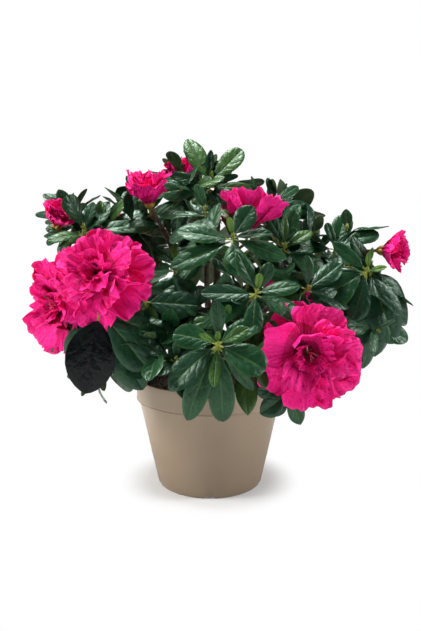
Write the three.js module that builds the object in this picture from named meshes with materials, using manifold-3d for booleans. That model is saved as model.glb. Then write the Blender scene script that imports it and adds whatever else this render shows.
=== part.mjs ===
// A potted azalea: a tapered pot with a banded rim, its compost, a short forked trunk, the boughs,
// the masses of foliage and the blooms. Millimetres, +Z up, origin under the middle of the pot.
// Places in the crown are given by turn (degrees about the pot's axis, 0 at +X, 270 at the front),
// reach (distance from that axis) and height above the ground.
import * as THREE from 'three';
import { mergeVertices } from 'three/addons/utils/BufferGeometryUtils.js';
import Module from 'manifold-3d';

const wasm = await Module();
wasm.setup();

const clearance = 0.4; // gap kept between neighbouring pieces
const goldenAngle = Math.PI * (3 - Math.sqrt(5));

const pot = {
  height: 98, rimRadius: 66.4, baseRadius: 46.8, wall: 2.2, floor: 5, sides: 30,
  bandHeight: 20, bandDraft: 1.4, bandStep: 1.8, footWidth: 7, recess: 2.2, bossRadius: 13,
  notches: 5, notchWidth: 9, drainRadius: 2, drainReach: 27,
};
const compost = { top: 89, edge: 87, hollow: 84.5, flatRadius: 22 };
const trunk = { height: 34, baseRadius: 10, radius: 6.4, tipRadius: 5.2, lean: 7, leanTurn: 300, sides: 8 };

// Each bough leaves the trunk at a share of its height and runs to the middle of what it carries,
// raised there by lift. bow is its rise over the straight line, as a share of its span.
const boughs = {
  bough_top: { to: 'foliage_top', from: 0.99, radius: 4.2, bow: 0.05, lift: -6 },
  bough_top_left: { to: 'bud_top_left', from: 0.95, radius: 3.4, bow: 0.02, lift: -14 },
  bough_left: { to: 'foliage_left_top', from: 0.86, radius: 4, bow: 0.07, lift: -4 },
  bough_left_front: { to: 'foliage_left_low', from: 0.72, radius: 3.8, bow: 0.07, lift: 6 },
  bough_front: { to: 'foliage_front', from: 0.7, radius: 3.4, bow: 0.07, lift: 8 },
  bough_right_front: { to: 'foliage_right_front', from: 0.82, radius: 3.8, bow: 0.07, lift: 4 },
  bough_right: { to: 'foliage_right_end', from: 0.9, radius: 4, bow: -0.02, lift: 30 },
  bough_right_top: { to: 'foliage_right_shoulder', from: 0.97, radius: 3.6, bow: 0.06, lift: 0 },
  bough_right_back: { to: 'foliage_right_back', from: 0.8, radius: 3.8, bow: 0.07, lift: 0 },
  bough_back: { to: 'foliage_back', from: 0.88, radius: 3.8, bow: 0.07, lift: 0 },
  bough_left_back: { to: 'foliage_left_back', from: 0.76, radius: 3.8, bow: 0.07, lift: 0 },
};

// Blooms: an open one is as wide as its size, and a bud is as long. face is the way it opens.
const blooms = {
  bloom_left: { turn: 229, reach: 124, height: 194, size: 80, face: [-0.35, -0.85, 0.5] },
  bloom_left_low: { turn: 211, reach: 141, height: 171, size: 70, face: [-0.7, -0.75, -0.2] },
  bloom_right: { turn: 307, reach: 124, height: 136, size: 78, face: [0.22, -0.95, 0.12] },
  bloom_middle: { turn: 309, reach: 50, height: 246, size: 54, face: [0.22, 0.15, 1] },
  bloom_left_back: { turn: 128, reach: 124, height: 208, size: 74, face: [-0.5, 0.75, 0.4] },
  bloom_right_back: { turn: 48, reach: 134, height: 172, size: 70, face: [0.55, 0.8, 0.15] },
  bud_top_left: { turn: 205, reach: 56, height: 261, size: 37, face: [-0.12, -0.25, 1] },
  bud_top_back: { turn: 120, reach: 42, height: 271, size: 30, face: [-0.25, 0.3, 1] },
  bud_left: { turn: 190, reach: 121, height: 240, size: 24, face: [-0.6, -0.5, 0.7] },
  bud_right: { turn: 355, reach: 155, height: 205, size: 36, face: [1, -0.15, 0.25] },
  bud_back: { turn: 80, reach: 98, height: 240, size: 34, face: [0.1, 0.7, 0.8] },
};

// Masses of foliage: out is the size along the reach, broad across it, tall upwards.
const foliage = {
  top: { turn: 0, reach: 6, height: 279, out: 58, broad: 50, tall: 46 },
  top_right: { turn: 14, reach: 52, height: 260, out: 58, broad: 54, tall: 38 },
  top_left: { turn: 154, reach: 31, height: 264, out: 54, broad: 56, tall: 40 },
  left_top: { turn: 176, reach: 119, height: 240, out: 66, broad: 60, tall: 48 },
  left_inner: { turn: 180, reach: 79, height: 241, out: 56, broad: 60, tall: 46 },
  middle_left: { turn: 216, reach: 40, height: 208, out: 54, broad: 56, tall: 48 },
  middle_top: { turn: 284, reach: 46, height: 216, out: 58, broad: 62, tall: 54 },
  right_top: { turn: 351, reach: 71, height: 224, out: 62, broad: 64, tall: 54 },
  right_shoulder: { turn: 4, reach: 115, height: 206, out: 68, broad: 60, tall: 50 },
  right_end: { turn: 353, reach: 145, height: 162, out: 54, broad: 50, tall: 84 },
  right_middle: { turn: 319, reach: 86, height: 181, out: 66, broad: 70, tall: 54 },
  right_side: { turn: 2, reach: 98, height: 153, out: 50, broad: 54, tall: 48 },
  middle_front: { turn: 280, reach: 82, height: 174, out: 56, broad: 64, tall: 54 },
  left_middle: { turn: 249, reach: 82, height: 169, out: 52, broad: 52, tall: 52 },
  left_low: { turn: 222, reach: 118, height: 133, out: 52, broad: 70, tall: 66 },
  left_side: { turn: 176, reach: 110, height: 172, out: 60, broad: 64, tall: 56 },
  front_left: { turn: 247, reach: 94, height: 135, out: 46, broad: 62, tall: 42 },
  front: { turn: 268, reach: 101, height: 116, out: 40, broad: 52, tall: 76 },
  right_front: { turn: 287, reach: 86, height: 126, out: 38, broad: 44, tall: 42 },
  right_low: { turn: 308, reach: 100, height: 94, out: 30, broad: 56, tall: 26 },
  top_back: { turn: 80, reach: 60, height: 254, out: 56, broad: 66, tall: 48 },
  left_top_back: { turn: 135, reach: 84, height: 234, out: 60, broad: 66, tall: 52 },
  right_top_back: { turn: 42, reach: 92, height: 230, out: 64, broad: 66, tall: 52 },
  left_back: { turn: 150, reach: 120, height: 194, out: 64, broad: 66, tall: 56 },
  right_back: { turn: 26, reach: 130, height: 182, out: 64, broad: 66, tall: 56 },
  back: { turn: 92, reach: 100, height: 200, out: 60, broad: 70, tall: 60 },
  left_low_back: { turn: 126, reach: 108, height: 148, out: 56, broad: 68, tall: 54 },
  right_low_back: { turn: 62, reach: 108, height: 146, out: 56, broad: 68, tall: 54 },
};

// A mass swells to its full size at each shoot, falls to hollow between them, and ripples all over.
const unevenness = { hollow: 0.74, tightness: 8, ripple: 0.05, fewestShoots: 7, moreShoots: 4 };

const paints = {
  pot: { color: 0x9c8c78, roughness: 0.55 },
  compost: { color: 0x241a14, roughness: 0.95 },
  bark: { color: 0x6a4e36, roughness: 0.85 },
  leaf: { color: 0x1f4a2c, roughness: 0.45 },
  petal: { color: 0xe0186c, roughness: 0.6 },
};
for (const name of Object.keys(paints)) {
  paints[name] = new THREE.MeshStandardMaterial({ metalness: 0, name, ...paints[name] });
}

function placeOf({ turn, reach, height }) {
  const angle = THREE.MathUtils.degToRad(turn);
  return new THREE.Vector3(reach * Math.cos(angle), reach * Math.sin(angle), height);
}

// A number from 0 to 1 that a name and a count always give again.
function chance(name, count) {
  let sum = count * 97 + 13;
  for (const letter of name) sum = (sum * 31 + letter.charCodeAt(0)) % 99991;
  return (Math.sin(sum) * 43758.5453 % 1 + 1) % 1;
}

function toSolid(geometry) {
  const bare = geometry.clone();
  bare.deleteAttribute('normal');
  bare.deleteAttribute('uv');
  const merged = mergeVertices(bare, 1e-3);
  return new wasm.Manifold(new wasm.Mesh({
    numProp: 3,
    vertProperties: new Float32Array(merged.attributes.position.array),
    triVerts: new Uint32Array(merged.index.array),
  }));
}

function toGeometry(solid) {
  const mesh = solid.getMesh();
  const geometry = new THREE.BufferGeometry();
  geometry.setAttribute('position', new THREE.BufferAttribute(mesh.vertProperties, mesh.numProp));
  geometry.setIndex(new THREE.BufferAttribute(mesh.triVerts, 1));
  geometry.computeVertexNormals();
  return geometry;
}

// What a cut leaves loose is dropped: a piece is its one largest body.
function largest(solid) {
  return solid.decompose().reduce((most, body) => (body.volume() > most.volume() ? body : most));
}

// A solid of revolution about +Z, from [radius, height] pairs that go up the outside.
function turned(profile, sides) {
  const points = profile.map(([radius, height]) => new THREE.Vector2(radius, height));
  return new THREE.LatheGeometry(points, sides).rotateX(Math.PI / 2);
}

function makePot() {
  const { height, rimRadius, baseRadius, wall, floor, recess } = pot;
  const bandFoot = height - pot.bandHeight;
  const bandRadius = rimRadius - pot.bandDraft;
  const neck = bandRadius - pot.bandStep;
  const innerFloor = baseRadius - wall + 1;
  const footInner = baseRadius - pot.footWidth;
  let solid = toSolid(turned([
    [0, 0], [pot.bossRadius, 0], [pot.bossRadius + recess, recess], [footInner - recess, recess], [footInner, 0],
    [baseRadius - 1.5, 0], [baseRadius, 2], [neck, bandFoot - 0.5], [bandRadius, bandFoot + 0.5],
    [rimRadius, height - 1], [rimRadius - 0.8, height], [rimRadius - wall, height],
    [bandRadius - wall - 0.6, bandFoot + 3], [neck - wall, bandFoot - 4], [innerFloor, floor], [0, floor],
  ], pot.sides));
  for (let i = 0; i < pot.notches; i++) {
    const angle = -Math.PI / 2 + (i * 2 * Math.PI) / pot.notches;
    const notch = new THREE.BoxGeometry(pot.footWidth * 3, pot.notchWidth, recess * 2);
    notch.translate(baseRadius - 2, 0, 0).rotateZ(angle);
    const drain = new THREE.CylinderGeometry(pot.drainRadius, pot.drainRadius, floor * 4, 6);
    drain.rotateX(Math.PI / 2).translate(pot.drainReach, 0, 0).rotateZ(angle + Math.PI / pot.notches);
    solid = solid.subtract(toSolid(notch)).subtract(toSolid(drain));
  }
  return solid;
}

function makeCompost() {
  const bandFoot = pot.height - pot.bandHeight;
  const loose = pot.wall + clearance;
  const neck = pot.rimRadius - pot.bandDraft - pot.bandStep;
  return toSolid(turned([
    [0, pot.floor + clearance], [pot.baseRadius - loose, pot.floor + clearance], [neck - loose, bandFoot - 4],
    [pot.rimRadius - loose - 2, bandFoot + 4], [pot.rimRadius - loose - 1.4, compost.edge],
    [pot.rimRadius * 0.6, compost.hollow], [compost.flatRadius, compost.top], [0, compost.top],
  ], pot.sides));
}

// A round limb along a curve. radiusAt gives its radius from 0 at the foot to 1 at the tip.
function makeLimb(curve, radiusAt, sides, steps) {
  const geometry = new THREE.CylinderGeometry(1, 1, 1, sides, steps);
  const frames = curve.computeFrenetFrames(steps, false);
  const position = geometry.attributes.position;
  const vertex = new THREE.Vector3();
  for (let i = 0; i < position.count; i++) {
    vertex.fromBufferAttribute(position, i);
    const share = vertex.y + 0.5;
    const step = Math.round(share * steps);
    const radius = radiusAt(share);
    const place = curve.getPointAt(share);
    place.addScaledVector(frames.normals[step], -vertex.x * radius);
    place.addScaledVector(frames.binormals[step], vertex.z * radius);
    position.setXYZ(i, place.x, place.y, place.z);
  }
  return toSolid(geometry);
}

const trunkFoot = new THREE.Vector3(2, -2, compost.top + clearance);
const trunkTip = placeOf({ turn: trunk.leanTurn, reach: trunk.lean, height: trunkFoot.z + trunk.height });

function makeTrunk(grown = 0) {
  const middle = trunkFoot.clone().lerp(trunkTip, 0.5).add(new THREE.Vector3(-1.5, 1, 0));
  const curve = new THREE.CatmullRomCurve3([
    trunkFoot, trunkFoot.clone().setZ(trunkFoot.z + 4), middle, trunkTip,
  ]);
  const flare = trunk.baseRadius - trunk.radius;
  const radiusAt = (t) => trunk.radius + (trunk.tipRadius - trunk.radius) * t + flare * Math.exp(-t * 9) + grown;
  const solid = makeLimb(curve, radiusAt, trunk.sides, 8);
  return solid.trimByPlane([0, 0, 1], trunkFoot.z - grown);
}

// Where a bough leaves the trunk: just inside the bark, on the side that it heads for.
function boughStart(name) {
  const { to, from } = boughs[name];
  const start = trunkFoot.clone().lerp(trunkTip, from);
  const heading = placeOf(blooms[to] ?? foliage[to.replace('foliage_', '')]).sub(start);
  return start.add(heading.setLength(trunk.tipRadius * 0.8));
}

function makeBough(name, grown = 0) {
  const { to, radius, bow, lift } = boughs[name];
  const start = boughStart(name);
  const end = placeOf(blooms[to] ?? foliage[to.replace('foliage_', '')]);
  end.z += lift;
  const span = start.distanceTo(end);
  const elbow = start.clone().lerp(end, 0.42).add(new THREE.Vector3(0, 0, bow * span));
  elbow.x += span * 0.05 * (chance(name, 1) - 0.5);
  elbow.y += span * 0.05 * (chance(name, 2) - 0.5);
  const curve = new THREE.CatmullRomCurve3([start, elbow, end]);
  return makeLimb(curve, (t) => radius * (1 - 0.5 * t) + grown, 6, 6);
}

// An uneven lump: a ball that swells towards a few seeded shoots, and ripples between them.
function makeMass(name, grown = 0) {
  const { turn, out, broad, tall } = foliage[name];
  const { hollow, tightness, ripple, fewestShoots, moreShoots } = unevenness;
  const shoots = [];
  const count = fewestShoots + Math.floor(chance(name, 0) * moreShoots);
  for (let i = 0; i < count; i++) {
    const z = 1 - (2 * i + 1) / count;
    const angle = i * goldenAngle + chance(name, 1) * 2 * Math.PI;
    const ring = Math.sqrt(1 - z * z);
    shoots.push(new THREE.Vector3(ring * Math.cos(angle), ring * Math.sin(angle), z));
  }
  const geometry = new THREE.OctahedronGeometry(1, 3);
  const position = geometry.attributes.position;
  const way = new THREE.Vector3();
  for (let i = 0; i < position.count; i++) {
    way.fromBufferAttribute(position, i).normalize();
    let swell = hollow;
    for (const shoot of shoots) swell += (1 - hollow) * Math.exp(tightness * (way.dot(shoot) - 1));
    swell += ripple * Math.sin(way.x * 7 + count) * Math.cos(way.y * 6 - way.z * 5);
    way.multiplyScalar(swell);
    position.setXYZ(i, way.x * (out / 2 + grown), way.y * (broad / 2 + grown), way.z * (tall / 2 + grown));
  }
  const place = placeOf(foliage[name]);
  geometry.rotateZ(THREE.MathUtils.degToRad(turn)).translate(place.x, place.y, place.z);
  return toSolid(geometry);
}

// Bloom outlines as [radius, height] shares of half its width or its length, from foot to crown.
const openBloom = [[0, -0.62], [0.14, -0.56], [0.5, -0.34], [0.9, -0.1], [1, 0.12], [0.8, 0.34], [0.4, 0.46], [0, 0.42]];
const halfOpenBud = [[0, -1], [0.2, -0.86], [0.4, -0.3], [0.72, 0.4], [0.86, 0.8], [0.6, 0.96], [0, 0.86]];

function makeBloom(name, grown = 0) {
  const { size, face } = blooms[name];
  const outline = name.startsWith('bloom') ? openBloom : halfOpenBud;
  const sides = 12;
  const half = size / 2 + grown;
  const geometry = turned(outline.map(([radius, height]) => [radius * half, height * half]), sides);
  const position = geometry.attributes.position;
  const phase = chance(name, 3) * 6;
  for (let i = 0; i < position.count; i++) {
    const angle = Math.atan2(position.getY(i), position.getX(i));
    const ruffle = 1 + 0.05 * Math.cos(5 * angle + phase) + 0.03 * Math.sin(3 * angle - phase);
    position.setXY(i, position.getX(i) * ruffle, position.getY(i) * ruffle);
  }
  const up = new THREE.Vector3(0, 0, 1);
  geometry.applyQuaternion(new THREE.Quaternion().setFromUnitVectors(up, new THREE.Vector3(...face).normalize()));
  const place = placeOf(blooms[name]);
  return toSolid(geometry.translate(place.x, place.y, place.z));
}

// Every piece as its true solid and as the slightly larger one that its neighbours are cut by.
const pieces = [];
const add = (name, paint, place, solid, grown) => pieces.push({ name, paint, place, solid, grown });

const potSolid = makePot();
add('pot', 'pot', new THREE.Vector3(), potSolid, potSolid);
const compostSolid = makeCompost();
add('compost', 'compost', new THREE.Vector3(0, 0, pot.floor), compostSolid, compostSolid);
add('trunk', 'bark', trunkFoot, makeTrunk(), makeTrunk(clearance));
for (const name of Object.keys(blooms)) {
  add(name, 'petal', placeOf(blooms[name]), makeBloom(name), makeBloom(name, clearance));
}
for (const [name, { to }] of Object.entries(boughs)) {
  const end = blooms[to] ? makeBloom(to, clearance) : makeMass(to.replace('foliage_', ''), clearance);
  add(name, 'bark', boughStart(name), makeBough(name).subtract(end), makeBough(name, clearance));
}
for (const name of Object.keys(foliage)) {
  add(`foliage_${name}`, 'leaf', placeOf(foliage[name]), makeMass(name), makeMass(name, clearance));
}

const shrub = new THREE.Group();
shrub.name = 'potted_azalea';
const groups = {};
for (const name of Object.keys(paints)) {
  groups[name] = new THREE.Group();
  shrub.add(groups[name]);
}
pieces.forEach(({ name, paint, place, solid }, index) => {
  let cut = solid;
  for (const neighbour of pieces.slice(2, index)) {
    const endsHere = boughs[neighbour.name]?.to === name; // that bough stops at this piece's skin
    if (!endsHere) cut = cut.subtract(neighbour.grown);
  }
  const geometry = toGeometry(largest(cut)).translate(-place.x, -place.y, -place.z);
  const mesh = new THREE.Mesh(geometry, paints[paint]);
  mesh.name = name;
  mesh.position.copy(place);
  groups[paint].add(mesh);
});

export default shrub;
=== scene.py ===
import math

import bpy
import numpy as np
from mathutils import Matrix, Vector, noise


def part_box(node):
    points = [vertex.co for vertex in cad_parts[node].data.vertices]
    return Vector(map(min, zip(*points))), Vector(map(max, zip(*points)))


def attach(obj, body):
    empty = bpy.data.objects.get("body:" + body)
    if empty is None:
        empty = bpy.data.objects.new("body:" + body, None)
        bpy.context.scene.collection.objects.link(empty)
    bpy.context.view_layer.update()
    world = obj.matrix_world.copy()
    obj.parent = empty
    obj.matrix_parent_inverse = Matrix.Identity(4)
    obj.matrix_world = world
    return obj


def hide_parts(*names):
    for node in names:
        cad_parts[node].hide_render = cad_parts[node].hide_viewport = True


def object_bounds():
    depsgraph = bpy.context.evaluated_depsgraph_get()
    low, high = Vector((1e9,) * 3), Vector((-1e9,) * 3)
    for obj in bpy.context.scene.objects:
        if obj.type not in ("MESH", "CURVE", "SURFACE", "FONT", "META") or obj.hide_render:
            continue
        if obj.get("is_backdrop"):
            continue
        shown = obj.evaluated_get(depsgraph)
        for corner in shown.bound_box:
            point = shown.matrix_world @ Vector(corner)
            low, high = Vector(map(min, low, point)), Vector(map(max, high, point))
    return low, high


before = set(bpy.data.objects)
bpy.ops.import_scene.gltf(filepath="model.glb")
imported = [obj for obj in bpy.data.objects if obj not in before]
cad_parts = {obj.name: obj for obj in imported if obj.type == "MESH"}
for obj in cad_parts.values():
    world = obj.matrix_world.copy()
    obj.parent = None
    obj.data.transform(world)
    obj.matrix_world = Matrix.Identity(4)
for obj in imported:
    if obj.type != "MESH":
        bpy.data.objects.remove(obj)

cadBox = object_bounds()
mm = 0.001
up = np.array([0.0, 0.0, 1.0])
fullTurn = 2 * math.pi


def unit(vector):
    return np.asarray(vector, float) / max(np.linalg.norm(vector), 1e-12)


def turned(vector, axis, angle):
    # the vector turned about a unit axis
    cosine, sine = math.cos(angle), math.sin(angle)
    return vector * cosine + np.cross(axis, vector) * sine + axis * np.dot(axis, vector) * (1 - cosine)


def squareTo(vector, axis):
    # what is left of the vector square to a unit axis, as a unit vector
    flat = vector - axis * np.dot(vector, axis)
    if np.linalg.norm(flat) < 1e-6:
        flat = np.cross(axis, [0.31, 0.87, 0.38])
    return unit(flat)


def boxOf(node):
    # the middle of a solid's box, and half its size
    low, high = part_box(node)
    low, high = np.array(low), np.array(high)
    return (low + high) / 2, (high - low) / 2


def nodesNamed(start):
    return sorted(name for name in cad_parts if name.startswith(start))


def cadPoints(node):
    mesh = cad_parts[node].data
    points = np.empty(len(mesh.vertices) * 3)
    mesh.vertices.foreach_get("co", points)
    return points.reshape(-1, 3)


def makePiece(name, points, faces, materials, faceMaterials=None, sharpEdges=None, pointUv=None):
    # one smooth mesh; sharpEdges marks edges from their two ends, pointUv repeats over the points
    mesh = bpy.data.meshes.new(name)
    mesh.from_pydata(np.asarray(points).tolist(), [], faces if isinstance(faces, list) else faces.tolist())
    for material in materials:
        mesh.materials.append(material)
    if faceMaterials is not None:
        mesh.polygons.foreach_set("material_index", np.asarray(faceMaterials, np.int32))
    mesh.polygons.foreach_set("use_smooth", np.ones(len(mesh.polygons), bool))
    mesh.update()
    if sharpEdges is not None:
        ends = np.empty(len(mesh.edges) * 2, np.int32)
        mesh.edges.foreach_get("vertices", ends)
        marks = mesh.attributes.new("sharp_edge", "BOOLEAN", "EDGE")
        marks.data.foreach_set("value", sharpEdges(ends.reshape(-1, 2)))
    if pointUv is not None:
        layer = mesh.uv_layers.new(name="blade")
        corners = np.empty(len(mesh.loops), np.int32)
        mesh.loops.foreach_get("vertex_index", corners)
        layer.data.foreach_set("uv", pointUv[corners % len(pointUv)].astype(np.float32).ravel())
    piece = bpy.data.objects.new(name, mesh)
    bpy.context.scene.collection.objects.link(piece)
    return piece


def declare(piece, slot, *nodes):
    # nothing on the plant moves, so every piece rides on the root
    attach(piece, "root")
    if nodes:
        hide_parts(*nodes)


def placeNode(tree, kind, settings=None, **inputs):
    # a shader node with its sockets filled, by name or by number as _0, _1 and so on
    node = tree.nodes.new(kind)
    for name, value in (settings or {}).items():
        setattr(node, name, value)
    for name, value in inputs.items():
        socket = node.inputs[int(name[1:])] if name[0] == "_" else node.inputs[name]
        if isinstance(value, bpy.types.NodeSocket):
            tree.links.new(value, socket)
        else:
            socket.default_value = value
    return node


def remap(tree, value, low, high, toLow=0.0, toHigh=1.0, kind="LINEAR"):
    # a value's span from low to high, stretched to another span and held at its ends
    node = placeNode(tree, "ShaderNodeMapRange", {"interpolation_type": kind}, Value=value, _1=low, _2=high,
                     _3=toLow, _4=toHigh)
    return node.outputs[0]


cameraSet = {"distance": 0.6086, "height": 0.2486, "aside": 0.0006, "pitchDown": 9.16, "lens": 39.94,
             "farthest": 30}

lights = {
    "softboxLeft": {"at": (-1.5, -0.3, 0.95), "aim": (0, 0, 0.17), "size": 0.8, "power": 31,
                    "tint": (1, 0.985, 0.96)},
    "softboxRight": {"at": (1.5, -0.15, 0.75), "aim": (0, 0, 0.16), "size": 0.7, "power": 19,
                     "tint": (0.98, 0.99, 1)},
    "softboxTop": {"at": (-0.15, 0.15, 1.5), "aim": (0, 0, 0.2), "size": 0.6, "power": 31, "tint": (1, 1, 1)},
    "frontFill": {"at": (-0.5, -1.6, 1.0), "aim": (0, 0, 0.16), "size": 0.8, "power": 1.2, "tint": (1, 1, 1)},
}
# the room as the camera sees it, and as the plant is lit by it: a colour and how bright it is
room = {"seen": ((1, 1, 1, 1), 1.0), "felt": ((0.96, 0.98, 1, 1), 0.035)}


def makeCamera():
    data = bpy.data.cameras.new("viewCamera")
    data.lens = cameraSet["lens"]
    data.clip_end = cameraSet["farthest"]
    camera = bpy.data.objects.new("viewCamera", data)
    camera.location = (cameraSet["aside"], -cameraSet["distance"], cameraSet["height"])
    camera.rotation_euler = (math.radians(90 - cameraSet["pitchDown"]), 0, 0)
    bpy.context.scene.collection.objects.link(camera)
    bpy.context.scene.camera = camera


def makeLights():
    for name, light in lights.items():
        data = bpy.data.lights.new(name, "AREA")
        data.shape = "DISK"
        data.size = light["size"]
        data.energy = light["power"]
        data.color = light["tint"]
        lamp = bpy.data.objects.new(name, data)
        lamp.location = light["at"]
        aim = Vector(light["aim"]) - Vector(light["at"])
        lamp.rotation_euler = aim.to_track_quat("-Z", "Y").to_euler()
        bpy.context.scene.collection.objects.link(lamp)


def makeWorld():
    world = bpy.data.worlds.new("studio")
    world.use_nodes = True
    tree = world.node_tree
    tree.nodes.clear()
    seen, felt = [placeNode(tree, "ShaderNodeBackground", Color=room[side][0], Strength=room[side][1])
                  for side in ("seen", "felt")]
    path = placeNode(tree, "ShaderNodeLightPath")
    both = placeNode(tree, "ShaderNodeMixShader", _0=path.outputs["Is Camera Ray"], _1=felt.outputs[0],
                     _2=seen.outputs[0])
    placeNode(tree, "ShaderNodeOutputWorld", Surface=both.outputs[0])
    bpy.context.scene.world = world
    bpy.context.scene.view_settings.view_transform = "Standard"


def newGroup(name, inputs, outputs):
    # an empty shader group, with its entry and its exit
    group = bpy.data.node_groups.new(name, "ShaderNodeTree")
    for label, kind, value in inputs:
        socket = group.interface.new_socket(name=label, in_out="INPUT", socket_type="NodeSocket" + kind)
        socket.default_value = value
    for label, kind in outputs:
        group.interface.new_socket(name=label, in_out="OUTPUT", socket_type="NodeSocket" + kind)
    return group, group.nodes.new("NodeGroupInput"), group.nodes.new("NodeGroupOutput")


def makeMottleGroup():
    # two colours mixed by soft blotches and fine specks
    group, entry, result = newGroup(
        "mottle",
        [("Main", "Color", (0.5, 0.5, 0.5, 1)), ("Second", "Color", (0.2, 0.2, 0.2, 1)),
         ("Scale", "Float", 60.0),
         ("Amount", "Float", 0.5), ("Specks", "Float", 0.15)],
        [("Color", "Color"), ("Mask", "Float")])
    place = placeNode(group, "ShaderNodeTexCoord")
    blotches = placeNode(group, "ShaderNodeTexNoise", Vector=place.outputs["Object"],
                         Scale=entry.outputs["Scale"],
                         Detail=3.0, Roughness=0.55)
    fineScale = placeNode(group, "ShaderNodeMath", {"operation": "MULTIPLY"}, _0=entry.outputs["Scale"],
                          _1=9.0)
    specks = placeNode(group, "ShaderNodeTexNoise", Vector=place.outputs["Object"],
                       Scale=fineScale.outputs[0],
                       Detail=2.0)
    spread = remap(group, blotches.outputs["Fac"], 0.32, 0.68)
    fleck = remap(group, specks.outputs["Fac"], 0.45, 0.75)
    broad = placeNode(group, "ShaderNodeMath", {"operation": "MULTIPLY"}, _0=spread,
                      _1=entry.outputs["Amount"])
    fine = placeNode(group, "ShaderNodeMath", {"operation": "MULTIPLY"}, _0=fleck, _1=entry.outputs["Specks"])
    both = placeNode(group, "ShaderNodeMath", {"operation": "ADD", "use_clamp": True}, _0=broad.outputs[0],
                     _1=fine.outputs[0])
    mix = placeNode(group, "ShaderNodeMix", {"data_type": "RGBA"}, Factor=both.outputs[0])
    group.links.new(entry.outputs["Main"], mix.inputs[6])
    group.links.new(entry.outputs["Second"], mix.inputs[7])
    group.links.new(mix.outputs[2], result.inputs["Color"])
    group.links.new(both.outputs[0], result.inputs["Mask"])
    return group


def makeGrainGroup():
    # a height for bump: fine grain over broader unevenness, and a roughness that follows it
    group, entry, result = newGroup(
        "grain",
        [("Fine Scale", "Float", 900.0), ("Broad Scale", "Float", 90.0), ("Broad Share", "Float", 0.5),
         ("Smooth", "Float", 0.35), ("Rough", "Float", 0.5)],
        [("Height", "Float"), ("Roughness", "Float")])
    place = placeNode(group, "ShaderNodeTexCoord")
    fine = placeNode(group, "ShaderNodeTexNoise", Vector=place.outputs["Object"],
                     Scale=entry.outputs["Fine Scale"], Detail=3.0, Roughness=0.6)
    broad = placeNode(group, "ShaderNodeTexNoise", Vector=place.outputs["Object"],
                      Scale=entry.outputs["Broad Scale"], Detail=2.0)
    height = placeNode(group, "ShaderNodeMix", {"data_type": "FLOAT"}, Factor=entry.outputs["Broad Share"],
                       A=fine.outputs["Fac"], B=broad.outputs["Fac"])
    rough = remap(group, broad.outputs["Fac"], 0.3, 0.7, entry.outputs["Smooth"], entry.outputs["Rough"])
    group.links.new(height.outputs[0], result.inputs["Height"])
    group.links.new(rough, result.inputs["Roughness"])
    return group


def makeVeinGroup():
    # veins of a blade: a midrib, and side veins that slant to the tip. The blade's UV runs across and
    # along it.
    group, entry, result = newGroup(
        "veins",
        [("Count", "Float", 7.0), ("Slant", "Float", 1.6), ("Rib Width", "Float", 0.1),
         ("Wander", "Float", 0.5)],
        [("Height", "Float"), ("Mask", "Float")])

    def work(operation, first, second=0.0):
        return placeNode(group, "ShaderNodeMath", {"operation": operation}, _0=first, _1=second).outputs[0]

    place = placeNode(group, "ShaderNodeTexCoord")
    split = placeNode(group, "ShaderNodeSeparateXYZ", Vector=place.outputs["UV"])
    off = work("MULTIPLY", work("ABSOLUTE", work("SUBTRACT", split.outputs["X"], 0.5)), 2.0)
    drift = placeNode(group, "ShaderNodeTexNoise", Vector=place.outputs["Object"], Scale=170.0, Detail=2.0)
    lean = work("MULTIPLY", off, entry.outputs["Slant"])
    phase = work("SUBTRACT", work("MULTIPLY", split.outputs["Y"], entry.outputs["Count"]), lean)
    phase = work("ADD", phase, work("MULTIPLY", drift.outputs["Fac"], entry.outputs["Wander"]))
    wave = work("ABSOLUTE", work("SINE", work("MULTIPLY", phase, math.pi)))
    pillow = work("POWER", wave, 0.55)
    besideRib = remap(group, off, 0.0, entry.outputs["Rib Width"], kind="SMOOTHSTEP")
    fade = remap(group, off, 0.75, 1.0, 1.0, 0.55)
    height = work("MULTIPLY", work("MULTIPLY", pillow, besideRib), fade)
    sideVein = remap(group, wave, 0.0, 0.3, 0.5, 0.0)
    mask = work("MAXIMUM", sideVein, work("SUBTRACT", 1.0, besideRib))
    group.links.new(height, result.inputs["Height"])
    group.links.new(mask, result.inputs["Mask"])
    return group


mottleGroup = makeMottleGroup()
grainGroup = makeGrainGroup()
veinGroup = makeVeinGroup()


# What a look leaves out. main and second: its two colours; scale, amount, specks: how they are mottled;
# smooth and rough: its least and most roughness; fine, broad, share: the grain's two scales and the broad
# one's part; bump and depth: how strong the relief is, and how deep in metres; plain: values of the
# shader's own sockets.
usualLook = {"scale": 60, "amount": 0.6, "specks": 0.15, "fine": 900, "broad": 90, "share": 0.5, "bump": 0.3,
             "depth": 0.0004, "plain": {}}


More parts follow.
